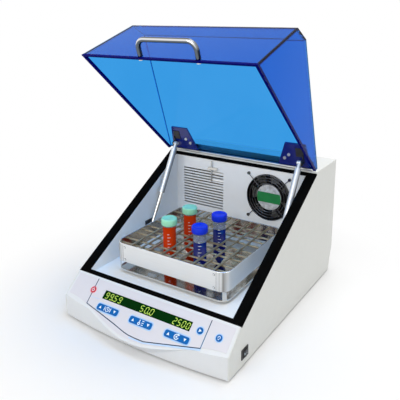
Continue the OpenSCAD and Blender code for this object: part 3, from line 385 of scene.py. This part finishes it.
# Painted reflection and shade: by the way it faces, the band gets a dark streak round each corner and a
# bluish tint on its sides
paint_light_by_facing(M_BAND, "X", [(0.0, 1.0, 1.0), (0.12, 0.9, 0.9), (0.30, 0.72, 0.72), (0.42, 1.0, 1.0),
                      (0.58, 0.36, 0.33), (0.72, 0.62, 0.60), (0.9, 1.0, 1.0), (1.0, 0.86, 0.94)])
M_STRUT = material("strut_silver", (0.70, 0.72, 0.75), 0.3, 0.5, noise=0.03, scale=50)
# Painted shade: the strut tubes darken on the faces turned sideways
paint_light_by_facing(M_STRUT, "X", [(0.0, 1.0, 1.0), (0.5, 0.95, 1.0), (0.85, 0.5, 0.54), (1.0, 0.35, 0.38)])
M_ROD = material("handle_chrome", (0.80, 0.81, 0.83), 0.07, 1.0, noise=0.02, scale=30)
# Painted reflection: the handle bar gets a bright streak on its near-level faces and dark on its top,
# bottom and ends
paint_light_by_facing(M_ROD, "Z", [(0.0, 0.10, 0.12), (0.40, 0.16, 0.22), (0.52, 1.0, 0.95), (0.72, 1.0, 0.95),
                     (0.86, 0.18, 0.2), (1.0, 0.08, 0.1)], signed=True)
paint_light_by_facing(M_ROD, "X", [(0.0, 1.0, 1.0), (0.5, 1.0, 1.0), (0.75, 0.25, 0.3), (1.0, 0.12, 0.16)])

# Hood, fan and tubes
M_HOOD = acrylic()
M_NAVY = material("pad_navy", (0.004, 0.012, 0.16), 0.25, noise=0.1, coat=0.3)
M_RIM = material("rim_navy", (0.0, 0.001, 0.12), 0.6, noise=0.1, spec=0.03)
M_JOINT = material("joint_dark", (0.001, 0.001, 0.02), 0.6, noise=0.1, spec=0.03)
M_SHADE = material("fan_black", (0.004, 0.004, 0.005), 0.7, noise=0.2, spec=0.15)
M_LABEL = material("fan_label", (0.66, 0.68, 0.69), 0.35, 0.3, noise=0.35, scale=120, bump=0.5,
                   bump_scale=250)
M_LABEL_GREEN = material("fan_label_green", (0.01, 0.22, 0.055), 0.5, noise=0.15)
M_LIQUID = {
    "orange": material("liquid_orange", (0.55, 0.034, 0.0), 0.4, noise=0.12, scale=30, spec=0.08),
    "blue": material("liquid_blue", (0.002, 0.008, 0.15), 0.25, noise=0.12, scale=30, spec=0.3)}
M_CAP = {"orange": material("cap_mint", (0.34, 0.80, 0.54), 0.4, noise=0.04),
         "blue": material("cap_blue", (0.001, 0.030, 0.70), 0.4, noise=0.04, spec=0.3)}
M_CLEAR = material("tube_clear", (0.80, 0.90, 0.98), 0.06, noise=0.02, transmission=0.85, ior=1.2)
M_GRAD = material("graduation", (0.80, 0.84, 0.88), 0.5, noise=0.02)

# Inside the casing
M_BOARD = material("board", (0.01, 0.10, 0.03), 0.4, noise=0.1)
M_FELT = material("felt", (0.45, 0.38, 0.22), 0.95, noise=0.2, bump=0.6)
M_HEAT = material("heater", (0.16, 0.12, 0.10), 0.45, 0.9, noise=0.2)
M_MOTOR = material("motor_grey", (0.05, 0.055, 0.06), 0.4, noise=0.08)
M_BELT = material("belt", (0.015, 0.015, 0.015), 0.8, noise=0.2, bump=0.3)

# The CAD nodes' materials; the tubes and their caps only stand in until they are replaced
for mat, names in (
        (M_CASE, ("outer_casing", "rear_panel")),
        (M_FASCIA, ("front_fascia",)),
        (M_LINER, ("chamber_liner", "chamber_back_wall")),
        (M_FILM, ("control_overlay",)),
        (M_RUBBER, ("rubber_feet", "lid_gasket")),
        (M_BLACK, ("motor_pulley", "crank_pulley", "switch_housing", "power_rocker", "power_inlet")),
        (M_BLUE, ("timer_key", "temperature_key", "speed_key", "start_key", "light_key", "tube_caps")),
        (M_RED, ("standby_key", "sample_tubes")),
        (M_GREEN, ("display_module",)),
        (M_STEEL, ("crank_shaft", "idler_crank_left", "idler_crank_right", "idler_crank_rear",
                   "hinge_body_leaf", "hinge_lid_leaf")),
        (M_POLISH, ("temperature_probe", "shaft_bearings", "shaker_tray", "hinge_pin",
                    "left_strut_rod", "right_strut_rod")),
        (M_ZINC, ("base_plate", "casing_screws", "drive_frame")),
        (M_CAST, ("bearing_housings", "platform_plate")),
        (M_GUARD, ("fan_guard",)),
        (M_SCREW, ("lid_screws",)),
        (M_BRACKET, ("strut_wall_brackets", "strut_ball_studs")),
        (M_SPRING, ("rack_springs",)),
        (M_BAND, ("tray_band",)),
        (M_STRUT, ("left_strut_tube", "right_strut_tube")),
        (M_ROD, ("lid_handle",)),
        (M_HOOD, ("lid_front_panel", "lid_bevel_panel", "lid_top_panel", "lid_side_panels")),
        (M_NAVY, ("strut_pads",)),
        (M_SHADE, ("fan_frame", "fan_impeller")),
        (M_BOARD, ("control_board",)),
        (M_FELT, ("wall_insulation",)),
        (M_HEAT, ("heater_element",)),
        (M_MOTOR, ("drive_motor",)),
        (M_BELT, ("drive_belt",))):
    for name in names:
        NODES[name].data.materials.clear()
        NODES[name].data.materials.append(mat)

# Soft edges on the moulded and folded pieces, in mm
for name, width in (("front_fascia", 1.6), ("outer_casing", 0.7), ("timer_key", 0.6),
                    ("temperature_key", 0.6), ("speed_key", 0.6), ("start_key", 0.5),
                    ("light_key", 0.5), ("standby_key", 0.5)):
    bevel(NODES[name], width)

# ------------------------------------------------------------------ control panel
# Heights over the panel's slope: its film, the display's face and the keys' tops, each with its print
FILM_N, DISPLAY_N, KEY_N = 0.6, 0.3, 1.8
GLOW_N, HALO_N, LINE_N = FILM_N + 0.03, FILM_N + 0.04, FILM_N + 0.06
DIGIT_N, MARK_N = DISPLAY_N + 0.06, KEY_N + 0.05
# Print on the rocker and the tubes stands this far off them
INK = 0.06
# Middles of the keys on the slope: three long ones that rock, and three round ones
BARS = {"timer_key": (-81.0, 0), "temperature_key": (4.0, 0), "speed_key": (89.0, 0)}
BAR_W, BAR_H = 54.0, 13.0
START, LIGHT, STANDBY = (128.5, 25.0), (169.0, 24.5), (-138.0, 27.0)
ROUND_R = 6.25
TRIM = [(-139.4, 52.0), (-136.8, -2.7), (-93, -11.6), (-50.2, -20.6), (-22, -27.2), (-10.6, -29.1),
        (8, -30.0), (28, -29.9), (60, -22.6), (142.6, -3.3), (142.4, 50.1)]
TRIM_GLOW = [(142.4, 30), (142.6, -5.8), (60, -25.2), (28, -32.5), (-6, -32.6)]
LEAD_LINE = [(-136.5, 13.0), (-112, 13.6)]
TRIM_W, GLOW_W, LEAD_W = 1.8, 2.6, 0.9


def printed(name, shape, mat):
    """A piece of print on the panel's film."""
    mesh(name, shape, mat, "casing")


printed("panel_trim", ribbon(TRIM, TRIM_W, on_panel, LINE_N), M_LINE)
printed("panel_trim_glow", ribbon(TRIM_GLOW, GLOW_W, on_panel, GLOW_N), M_GLOW)
printed("panel_lead_line", ribbon(LEAD_LINE, LEAD_W, on_panel, LINE_N), M_GLOW)
bar_halo = (BAR_W + 5.4, BAR_H + 5.0, 6.4)
halos = [flat(round_rect(*bar_halo, at=at), on_panel, HALO_N) for at in BARS.values()]
halos += [ring(*at, ROUND_R + 0.8, 2.6, on_panel, HALO_N) for at in (START, LIGHT)]
printed("key_halos", join(halos), M_HALO)
printed("standby_halo", ring(*STANDBY, ROUND_R + 1.0, 2.4, on_panel, HALO_N), M_ROSE)


# Marks on the keys, drawn in mm from each key's middle
def moved(line, at):
    """Points of a drawing, moved to a key."""
    return [(at[0] + a, at[1] + b) for a, b in line]


def stroke(at, line, width):
    """A painted line."""
    return ribbon(moved(line, at), width, on_panel, MARK_N)


def arc(at, r, width, start=0.0, turn=360.0, off=(0, 0)):
    """A painted arc, its middle moved by off."""
    return ring(at[0] + off[0], at[1] + off[1], r, width, on_panel, MARK_N, start, turn)


def patch(at, outline):
    """A painted area."""
    return flat(moved(outline, at), on_panel, MARK_N)


def up_and_down(at):
    """Triangles at both ends of a rocking key."""
    return [patch(at, [(-21.5, -2.6), (-15.5, -2.6), (-18.5, 2.9)]),
            patch(at, [(15.5, 2.6), (18.5, -2.9), (21.5, 2.6)])]


def clock(at):
    """A clock face between two dashes."""
    return [arc(at, 4.4, 1.3), stroke(at, [(0, 2.8), (0, 0), (2.2, -1.4)], 1.2),
            stroke(at, [(-7.5, 4.2), (-7.5, -4.2)], 1.6), stroke(at, [(7.5, 4.2), (7.5, -4.2)], 1.6)]


def thermometer(at):
    """A thermometer beside its scale."""
    return ([arc(at, 2.2, 1.8, off=(-2.5, -2.6)), stroke(at, [(-2.5, -0.6), (-2.5, 5)], 1.7)]
            + [stroke(at, [(3, b), (8, b)], 1.3) for b in (3.8, 0, -3.8)])


def turning_arrow(at):
    """An arrow round a hub."""
    return [arc(at, 4.6, 1.6, 60, 290), patch(at, [(1.4, 1.7), (1.4, 7.0), (6.2, 4.2)]),
            arc(at, 1.2, 1.4)]


for key, icon in (("timer_key", clock), ("temperature_key", thermometer), ("speed_key", turning_arrow)):
    mesh(key + "_marks", join(up_and_down(BARS[key]) + icon(BARS[key])), M_MARK, key + "_body")
mesh("start_mark", patch(START, [(-2.0, 3.2), (-2.0, -3.2), (3.6, 0)]), M_MARK, "start_key_body")
mesh("light_mark", join([arc(LIGHT, 2.3, 1.0, -50, 280, off=(0, 0.8)),
                         stroke(LIGHT, [(-1.6, -2.6), (1.6, -2.6)], 1.1)]),
     M_MARK, "light_key_body")
mesh("standby_mark", join([arc(STANDBY, 3.0, 1.2, 125, 290), stroke(STANDBY, [(0, 0.6), (0, 4.4)], 1.3)]),
     M_MARK, "standby_key_body")

# Lit figures: each segment is a flat six-sided bar between two of the six corners of a figure
SEGMENTS = {"a": ((0, 2), (1, 2)), "b": ((1, 2), (1, 1)), "c": ((1, 1), (1, 0)), "d": ((0, 0), (1, 0)),
            "e": ((0, 1), (0, 0)), "f": ((0, 2), (0, 1)), "g": ((0, 1), (1, 1))}
LIT = {"0": "abcdef", "2": "abdeg", "5": "acdfg", "9": "abcdfg"}
FIGURE_MID, FIGURE_TALL, FIGURE_SLANT = 25.6, 11.6, 0.14
# Shares of the pitch from one figure to the next
FIGURE_WIDE, LAST_GAP, DOT_GAP = 0.56, 0.25, 0.23
SEGMENT_T, SEGMENT_GAP = 1.2, 0.45


def segment(seg, wide, half):
    """Corners of one bar in an upright figure."""
    start, end = [Vector((a * wide, b * half)) for a, b in SEGMENTS[seg]]
    along = (end - start).normalized()
    side = Vector((-along.y, along.x)) * (SEGMENT_T / 2)
    start, end = start + along * SEGMENT_GAP, end - along * SEGMENT_GAP
    tip = along * (SEGMENT_T / 2)
    return [start, start + tip + side, end - tip + side, end, end - tip - side, start + tip - side]


def figures(text, x0, x1):
    """Slanting figures from x0 to x1; a dot stands after the figure before it."""
    pitch = (x1 - x0) / (len(text.replace(".", "")) - LAST_GAP)
    wide, half = pitch * FIGURE_WIDE, FIGURE_TALL / 2
    foot = FIGURE_MID - half
    parts, k = [], 0
    for c in text:
        if c == ".":
            dot = x0 + (k - 1) * pitch + wide + pitch * DOT_GAP
            parts.append(flat([(dot - 1.0, foot - 0.6), (dot + 1.0, foot - 0.6), (dot + 1.3, foot + 1.6),
                               (dot - 0.7, foot + 1.6)], on_panel, DIGIT_N))
            continue
        for seg in LIT[c]:
            corners = [(x0 + k * pitch + p.x + p.y * FIGURE_SLANT, foot + p.y)
                       for p in segment(seg, wide, half)]
            parts.append(flat(corners, on_panel, DIGIT_N))
        k += 1
    return parts


mesh("display_digits", join(figures("99.59", -102.5, -60) + figures("50.0", -12, 21)
                            + figures("2500", 67.5, 105.5)),
     M_DIGIT, "casing")

# ------------------------------------------------------------------ mains rocker's marks
ROCKER_AT, ROCKER_R = (191.0, 57.5, 27.0), 13.0


def on_rocker(a, b, n):
    """a towards the rear and b up on the rocker's rounded face."""
    return point(ROCKER_AT[0] + math.sqrt(ROCKER_R ** 2 - a * a) + n, ROCKER_AT[1] + a, ROCKER_AT[2] + b)


mesh("rocker_marks", join([ribbon([(-4.2, -2.4), (-4.2, 2.4)], 1.0, on_rocker, INK),
                           ring(4.2, 0, 2.1, 0.9, on_rocker, INK)]),
     M_MARK, "rocker")

# ------------------------------------------------------------------ tubes with their caps
TUBE_FOOT = 86.2
TUBE_H, TUBE_R = 117.0, 13.8
CAP_H, CAP_R, CAP_RIBS, RIB_DEPTH = 15.0, 17.0, 30, 0.45
# Where a tube's clear wall goes under its cap
COLLAR = TUBE_H - CAP_H
TUBE_STEPS = 40
# Columns and rows of tubes from the tray's middle, and how high each colour is filled
COLUMNS, ROWS = {"orange": -39.0, "blue": 39.0}, (-65.0, 13.0)
LEVEL = {"orange": 99.0, "blue": 83.0}
# Dashes up a tube: how many, from what height and how far apart, and their ends in degrees
DASHES, DASH_LOW, DASH_PITCH = 9, 26, 7.2
DASH_START, DASH_SHORT, DASH_LONG = 18, 34, 46


def clear_wall(foot, level):
    """A tube's wall above its liquid; below, the liquid's own surface stands for it."""
    inner = TUBE_R - 1
    return lathe([(inner, level - 3), (TUBE_R, level), (TUBE_R, COLLAR), (inner, COLLAR),
                  (inner, level - 3)], foot, UP, TUBE_STEPS, close=False)


def filling(foot, level):
    """The liquid: the tube's cone and wall, with a slightly sunken top."""
    return lathe([(POINT_R, 0), (3.4, 0), (4, 0.5), (TUBE_R - 0.3, 15.2), (TUBE_R, 16.6), (TUBE_R, level),
                  (TUBE_R - 1.1, level - 0.6), (POINT_R, level - 0.8)], foot, UP, TUBE_STEPS, close=False)


def screw_cap(at, z):
    """A cap with ribs round its side, a soft top edge and a shallow dish on top."""
    steps = CAP_RIBS * 4
    # Radius, height and how deep the ribs are cut there
    profile = [(CAP_R - 1.2, 0, 0.2), (CAP_R, 1, 1), (CAP_R, CAP_H - 3, 1), (CAP_R - 0.5, CAP_H - 1.3, 0.4),
               (CAP_R - 1.6, CAP_H - 0.2, 0), (CAP_R - 3.2, CAP_H, 0), (CAP_R - 4.6, CAP_H - 0.6, 0),
               (POINT_R, CAP_H - 0.7, 0)]
    rings = []
    for r, h, amount in profile:
        rings.append([])
        for k in range(steps):
            a = 2 * math.pi * k / steps
            cut = RIB_DEPTH * amount * (0.5 - 0.5 * math.cos(CAP_RIBS * a))
            rings[-1].append(point(at[0] + (r - cut) * math.cos(a), at[1] + (r - cut) * math.sin(a), z + h))
    return skin(rings, last=False)


def graduation(at, first, last, h):
    """A dash round a tube's wall, from first to last degrees at height h."""
    width, steps = 1.1, 6
    lines = []
    for edge in (h - width / 2, h + width / 2):
        for k in range(steps + 1):
            a = math.radians(first + (last - first) * k / steps)
            lines.append(point(at[0] + (TUBE_R + INK) * math.sin(a), at[1] - (TUBE_R + INK) * math.cos(a),
                               TUBE_FOOT + edge))
    return lines, [(i, i + 1, steps + 2 + i, steps + 1 + i) for i in range(steps)]


for tint, column in COLUMNS.items():
    walls, fillings, caps, marks = [], [], [], []
    for row in ROWS:
        at = (TRAY_AT[0] + column, TRAY_AT[1] + row)
        foot = point(*at, TUBE_FOOT)
        walls.append(clear_wall(foot, LEVEL[tint]))
        fillings.append(filling(foot, LEVEL[tint]))
        caps.append(screw_cap(at, TUBE_FOOT + COLLAR))
        for k in range(DASHES):
            end = DASH_LONG if k % 2 else DASH_SHORT
            marks.append(graduation(at, DASH_START, end, DASH_LOW + DASH_PITCH * k))
    shell = mesh("tubes_" + tint, join(walls), M_CLEAR, "platform", True)
    mesh("liquid_" + tint, join(fillings), M_LIQUID[tint], "platform", True)
    lids = mesh("caps_" + tint, join(caps), M_CAP[tint], "platform", True)
    mesh("marks_" + tint, join(marks), M_GRAD, "platform")
    if tint == "orange":
        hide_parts("sample_tubes")
        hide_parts("tube_caps")

# ------------------------------------------------------------------ tray
TRAY_W, TRAY_D, TRAY_TOP, TRAY_CORNER = 276.0, 254.0, 148.0, 20.0
BAND_H, BAND_T = 40.5, 1.2
LIP_GROW, LIP_R = 0.1, 1.0

outline = round_rect(TRAY_W + 2 * LIP_GROW, TRAY_D + 2 * LIP_GROW, TRAY_CORNER + LIP_GROW, 10, TRAY_AT)
mesh("tray_lip", tube([point(a, b, TRAY_TOP - LIP_GROW) for a, b in outline + outline[:1]], LIP_R, 8),
     M_CHROME, "platform", True)

# At both front corners the band is lapped along a seam and held by two rivets
band_y, band_low = TRAY_AT[1] - TRAY_D / 2 - BAND_T, TRAY_TOP - BAND_H
seams = []
for side in (-1, 1):
    corner = TRAY_W / 2 - TRAY_CORNER
    seam_x = TRAY_AT[0] + side * (corner - 1.0)
    seams.append(prism([(seam_x - 0.35, band_low + 0.5), (seam_x + 0.35, band_low + 0.5),
                        (seam_x + 0.35, TRAY_TOP - 1.5), (seam_x - 0.35, TRAY_TOP - 1.5)],
                       lambda a, b, h: point(a, band_y - h, b), -0.1, 0.12))
    for up in (6, BAND_H - 7):
        at = point(TRAY_AT[0] + side * (corner - 6), band_y, band_low + up)
        seams.append(lathe([(2.0, 0), (2.6, 0.1), (2.6, 0.15), (2.0, 0.25)], at, FORTH, 20))
mesh("band_seams", join(seams), M_EDGE, "platform")

# ------------------------------------------------------------------ fan
FAN = (85.0, 383.15, 203.0)
LABEL_R = 31.2
STRIPE_R, STRIPE_TURN = LABEL_R - 0.6, 24

mesh("fan_label", lathe([(LABEL_R - 0.4, -0.1), (LABEL_R, 0.1), (LABEL_R, 0.25), (LABEL_R - 0.4, 0.35)],
                        point(*FAN), FORTH, 48),
     M_LABEL, "casing")
turns = [math.radians(a) for a in range(-STRIPE_TURN, STRIPE_TURN + 1, 4)]
stripe = [(STRIPE_R * math.cos(t), STRIPE_R * math.sin(t)) for t in turns]
stripe += [(-a, -b) for a, b in stripe]
mesh("fan_label_band", prism(stripe, lambda a, b, h: point(FAN[0] + a, FAN[1] - h, FAN[2] + b - 1),
                             0.3, 0.45),
     M_LABEL_GREEN, "casing")

# ------------------------------------------------------------------ hood edges and fittings
RIM_H = 6.5
# The dark bands are shifted by this much from the hood's sheets, sideways and down
SKIM, UNDER = 0.1, 0.08
# Radii of the joints up the front corners, along the sides and across
CORNER_R, SIDE_R, CROSS_R = 2.2, 0.8, 0.7
sill_low = SILL_Z + RIM_GAP
front_low = slope_z(SILL_Y + HOOD_T, RIM_GAP)
rear_y = HOOD_END - 0.2
rear_low = slope_z(rear_y, RIM_GAP)


def rim(y0, low0, y1, low1, x0, x1):
    """A band along the hood's rim between two places."""
    return prism([(y0, low0 - UNDER), (y1, low1 - UNDER), (y1, low1 + RIM_H), (y0, low0 + RIM_H)],
                 lambda a, b, h: on_hood(h, a, b), x0, x1)


rims = [rim(SILL_Y - SKIM, sill_low, SILL_Y + HOOD_T - SKIM, front_low, -HALF_W + 0.2, HALF_W - 0.2)]
for side in (-1, 1):
    x0, x1 = sorted((side * (HALF_W - SKIM), side * (HALF_W - HOOD_T - SKIM)))
    rims.append(rim(SILL_Y + HOOD_T, front_low, rear_y, rear_low, x0, x1))
mesh("hood_rim_edges", join(rims), M_RIM, "lid")

# Bonded joints between the hood's sheets: up the front corners, over the bevel and across
beads = []
for side in (-1, 1):
    x, y = side * (HALF_W - CORNER_R), SILL_Y + CORNER_R
    beads.append(tube([on_hood(x, y, sill_low + 4.0), on_hood(x, y, FRONT_TOP - 1.6)], CORNER_R, 10))
    x = side * (HALF_W - 1.0)
    beads.append(tube([on_hood(x, SILL_Y + 1.2, FRONT_TOP - 0.6), on_hood(x, BEVEL_Y + 0.3, HOOD_TOP - 1.2),
                       on_hood(x, HOOD_END - 0.5, HOOD_TOP - 1.2)], SIDE_R, 8))
for y, z in ((SILL_Y + 1.0, FRONT_TOP - 0.5), (BEVEL_Y + 0.2, HOOD_TOP - 1.0),
             (HOOD_END - 1.0, HOOD_TOP - 1.0)):
    beads.append(tube([on_hood(-HALF_W + 1, y, z), on_hood(HALF_W - 1, y, z)], CROSS_R, 8))
mesh("hood_joint_beads", join(beads), M_JOINT, "lid", True)

# Bright ends of the ball studs: a round one towards the middle and a nut outside
STUD_X, STUD_Y, STUD_Z = 167.0, HINGE_Y - 24.5, HOOD_TOP - HOOD_T - 13.5
ends = []
for side in (-1, 1):
    for steps, r, x0, x1 in ((20, 3.6, -4.3, -4.3 - 1.6), (6, 4.4, 4.25, 4.25 + 0.5)):
        ends.append(tube([on_hood(side * (STUD_X + x), STUD_Y, STUD_Z) for x in (x0, x1)], r, steps))
mesh("stud_caps", join(ends), M_SCREW, "lid")


# ------------------------------------------------------------------ floor, lights and camera
# Half the floor's width and where its painted shadow round the object fades to white, in metres, and the
# world's strength as a light
FLOOR = 6
# The floor keeps a duller grey inside FADE_START and whitens by FADE_END: a painted soft shadow round the
# object
FADE_START, FADE_END = 0.29, 0.56
WORLD_LIGHT = 0.55


def seen_directly(tree):
    """A value that is 1 for rays that see a surface: camera, glossy and see-through ones."""
    path = add(tree, "LightPath")
    value = path.outputs["Is Camera Ray"]
    for other in ("Is Glossy Ray", "Is Transmission Ray"):
        either = add(tree, "Math")
        either.operation = "MAXIMUM"
        wire(tree, (value, either.inputs[0]), (path.outputs[other], either.inputs[1]))
        value = either.outputs["Value"]
    return value


def white_floor():
    """Matt floor that keeps the lamps' shadows near the object and turns plain white far from it; its
    duller tone near the object is a painted soft shadow round it.
    """
    mat = material("floor_white", (0.80, 0.80, 0.80), 0.9, noise=0.0, spec=0.0)
    tree = mat.node_tree
    coord = add(tree, "TexCoord")
    away = add(tree, "VectorMath")
    away.operation = "LENGTH"
    fade = add(tree, "MapRange", From_Min=FADE_START, From_Max=FADE_END)
    both = add(tree, "Math")
    both.operation = "MULTIPLY"
    white = add(tree, "Emission", Color=(1, 1, 1, 1))
    mix = add(tree, "MixShader")
    wire(tree, (coord.outputs["Object"], away.inputs[0]), (away.outputs["Value"], fade.inputs["Value"]),
         (fade.outputs["Result"], both.inputs[0]), (seen_directly(tree), both.inputs[1]),
         (both.outputs["Value"], mix.inputs["Fac"]),
         (tree.nodes["Principled BSDF"].outputs["BSDF"], mix.inputs[1]),
         (white.outputs["Emission"], mix.inputs[2]),
         (mix.outputs["Shader"], tree.nodes["Material Output"].inputs["Surface"]))
    return mat


def white_world():
    """Even light on the object at a plain level, and white where it is seen."""
    world = bpy.data.worlds.new("studio")
    bpy.context.scene.world = world
    world.use_nodes = True
    tree = world.node_tree
    background = tree.nodes["Background"]
    background.inputs["Color"].default_value = (1, 1, 1, 1)
    strength = add(tree, "MapRange", To_Min=WORLD_LIGHT)
    wire(tree, (seen_directly(tree), strength.inputs["Value"]),
         (strength.outputs["Result"], background.inputs["Strength"]))


def lamp(name, at, aim, size, power):
    """A soft rectangular lamp of a power in watts, turned to a point."""
    data = bpy.data.lights.new(name, "AREA")
    data.shape = "RECTANGLE"
    data.size, data.size_y = size
    data.energy = power
    ob = bpy.data.objects.new(name, data)
    bpy.context.scene.collection.objects.link(ob)
    ob.location = at
    ob.rotation_euler = (Vector(aim) - Vector(at)).to_track_quat("-Z", "Y").to_euler()


floor = mesh("floor", ([(-FLOOR, -FLOOR, 0), (FLOOR, -FLOOR, 0), (FLOOR, FLOOR, 0), (-FLOOR, FLOOR, 0)],
                       [(0, 1, 2, 3)]), white_floor(), None)
white_world()
bpy.context.scene.view_settings.view_transform = "Standard"
lamp("key", (0.0, -2.1, 1.5), (0, 0, 0.2), (1.8, 1.2), 22)
lamp("fill", (1.9, 0.0, 1.6), (0, 0, 0.2), (1.6, 1.6), 5)
lamp("top", (0.3, 0.5, 2.4), (0, 0, 0.1), (1.4, 1.4), 34)

# The camera as fitted to the photo: turn round the object, tilt down and roll, its place in mm,
# and the focal length and the optical axis in the photo's pixels
TURN, TILT, ROLL = math.radians(33.022), math.radians(13.827), math.radians(-0.310)
CAMERA_AT = (599.22, -693.99, 634.25)
FOCAL_PX, AXIS_PX, PHOTO_PX = 531.08, (202.315, 140.119), 400.0
SENSOR = 36.0

cam = bpy.data.cameras.new("camera")
cam.sensor_width = SENSOR
cam.lens = FOCAL_PX / PHOTO_PX * SENSOR
cam.shift_x = (PHOTO_PX / 2 - AXIS_PX[0]) / PHOTO_PX
cam.shift_y = (AXIS_PX[1] - PHOTO_PX / 2) / PHOTO_PX
cam.clip_end = 50
camera = bpy.data.objects.new("camera", cam)
bpy.context.scene.collection.objects.link(camera)
forward = Vector((-math.sin(TURN) * math.cos(TILT), math.cos(TURN) * math.cos(TILT), -math.sin(TILT)))
level = Vector((math.cos(TURN), math.sin(TURN), 0))
upright = level.cross(forward)
right = level * math.cos(ROLL) + upright * math.sin(ROLL)
top = upright * math.cos(ROLL) - level * math.sin(ROLL)
facing = Matrix((right, top, -forward)).transposed().to_4x4()
camera.matrix_world = Matrix.Translation(point(*CAMERA_AT)) @ facing
bpy.context.scene.camera = camera
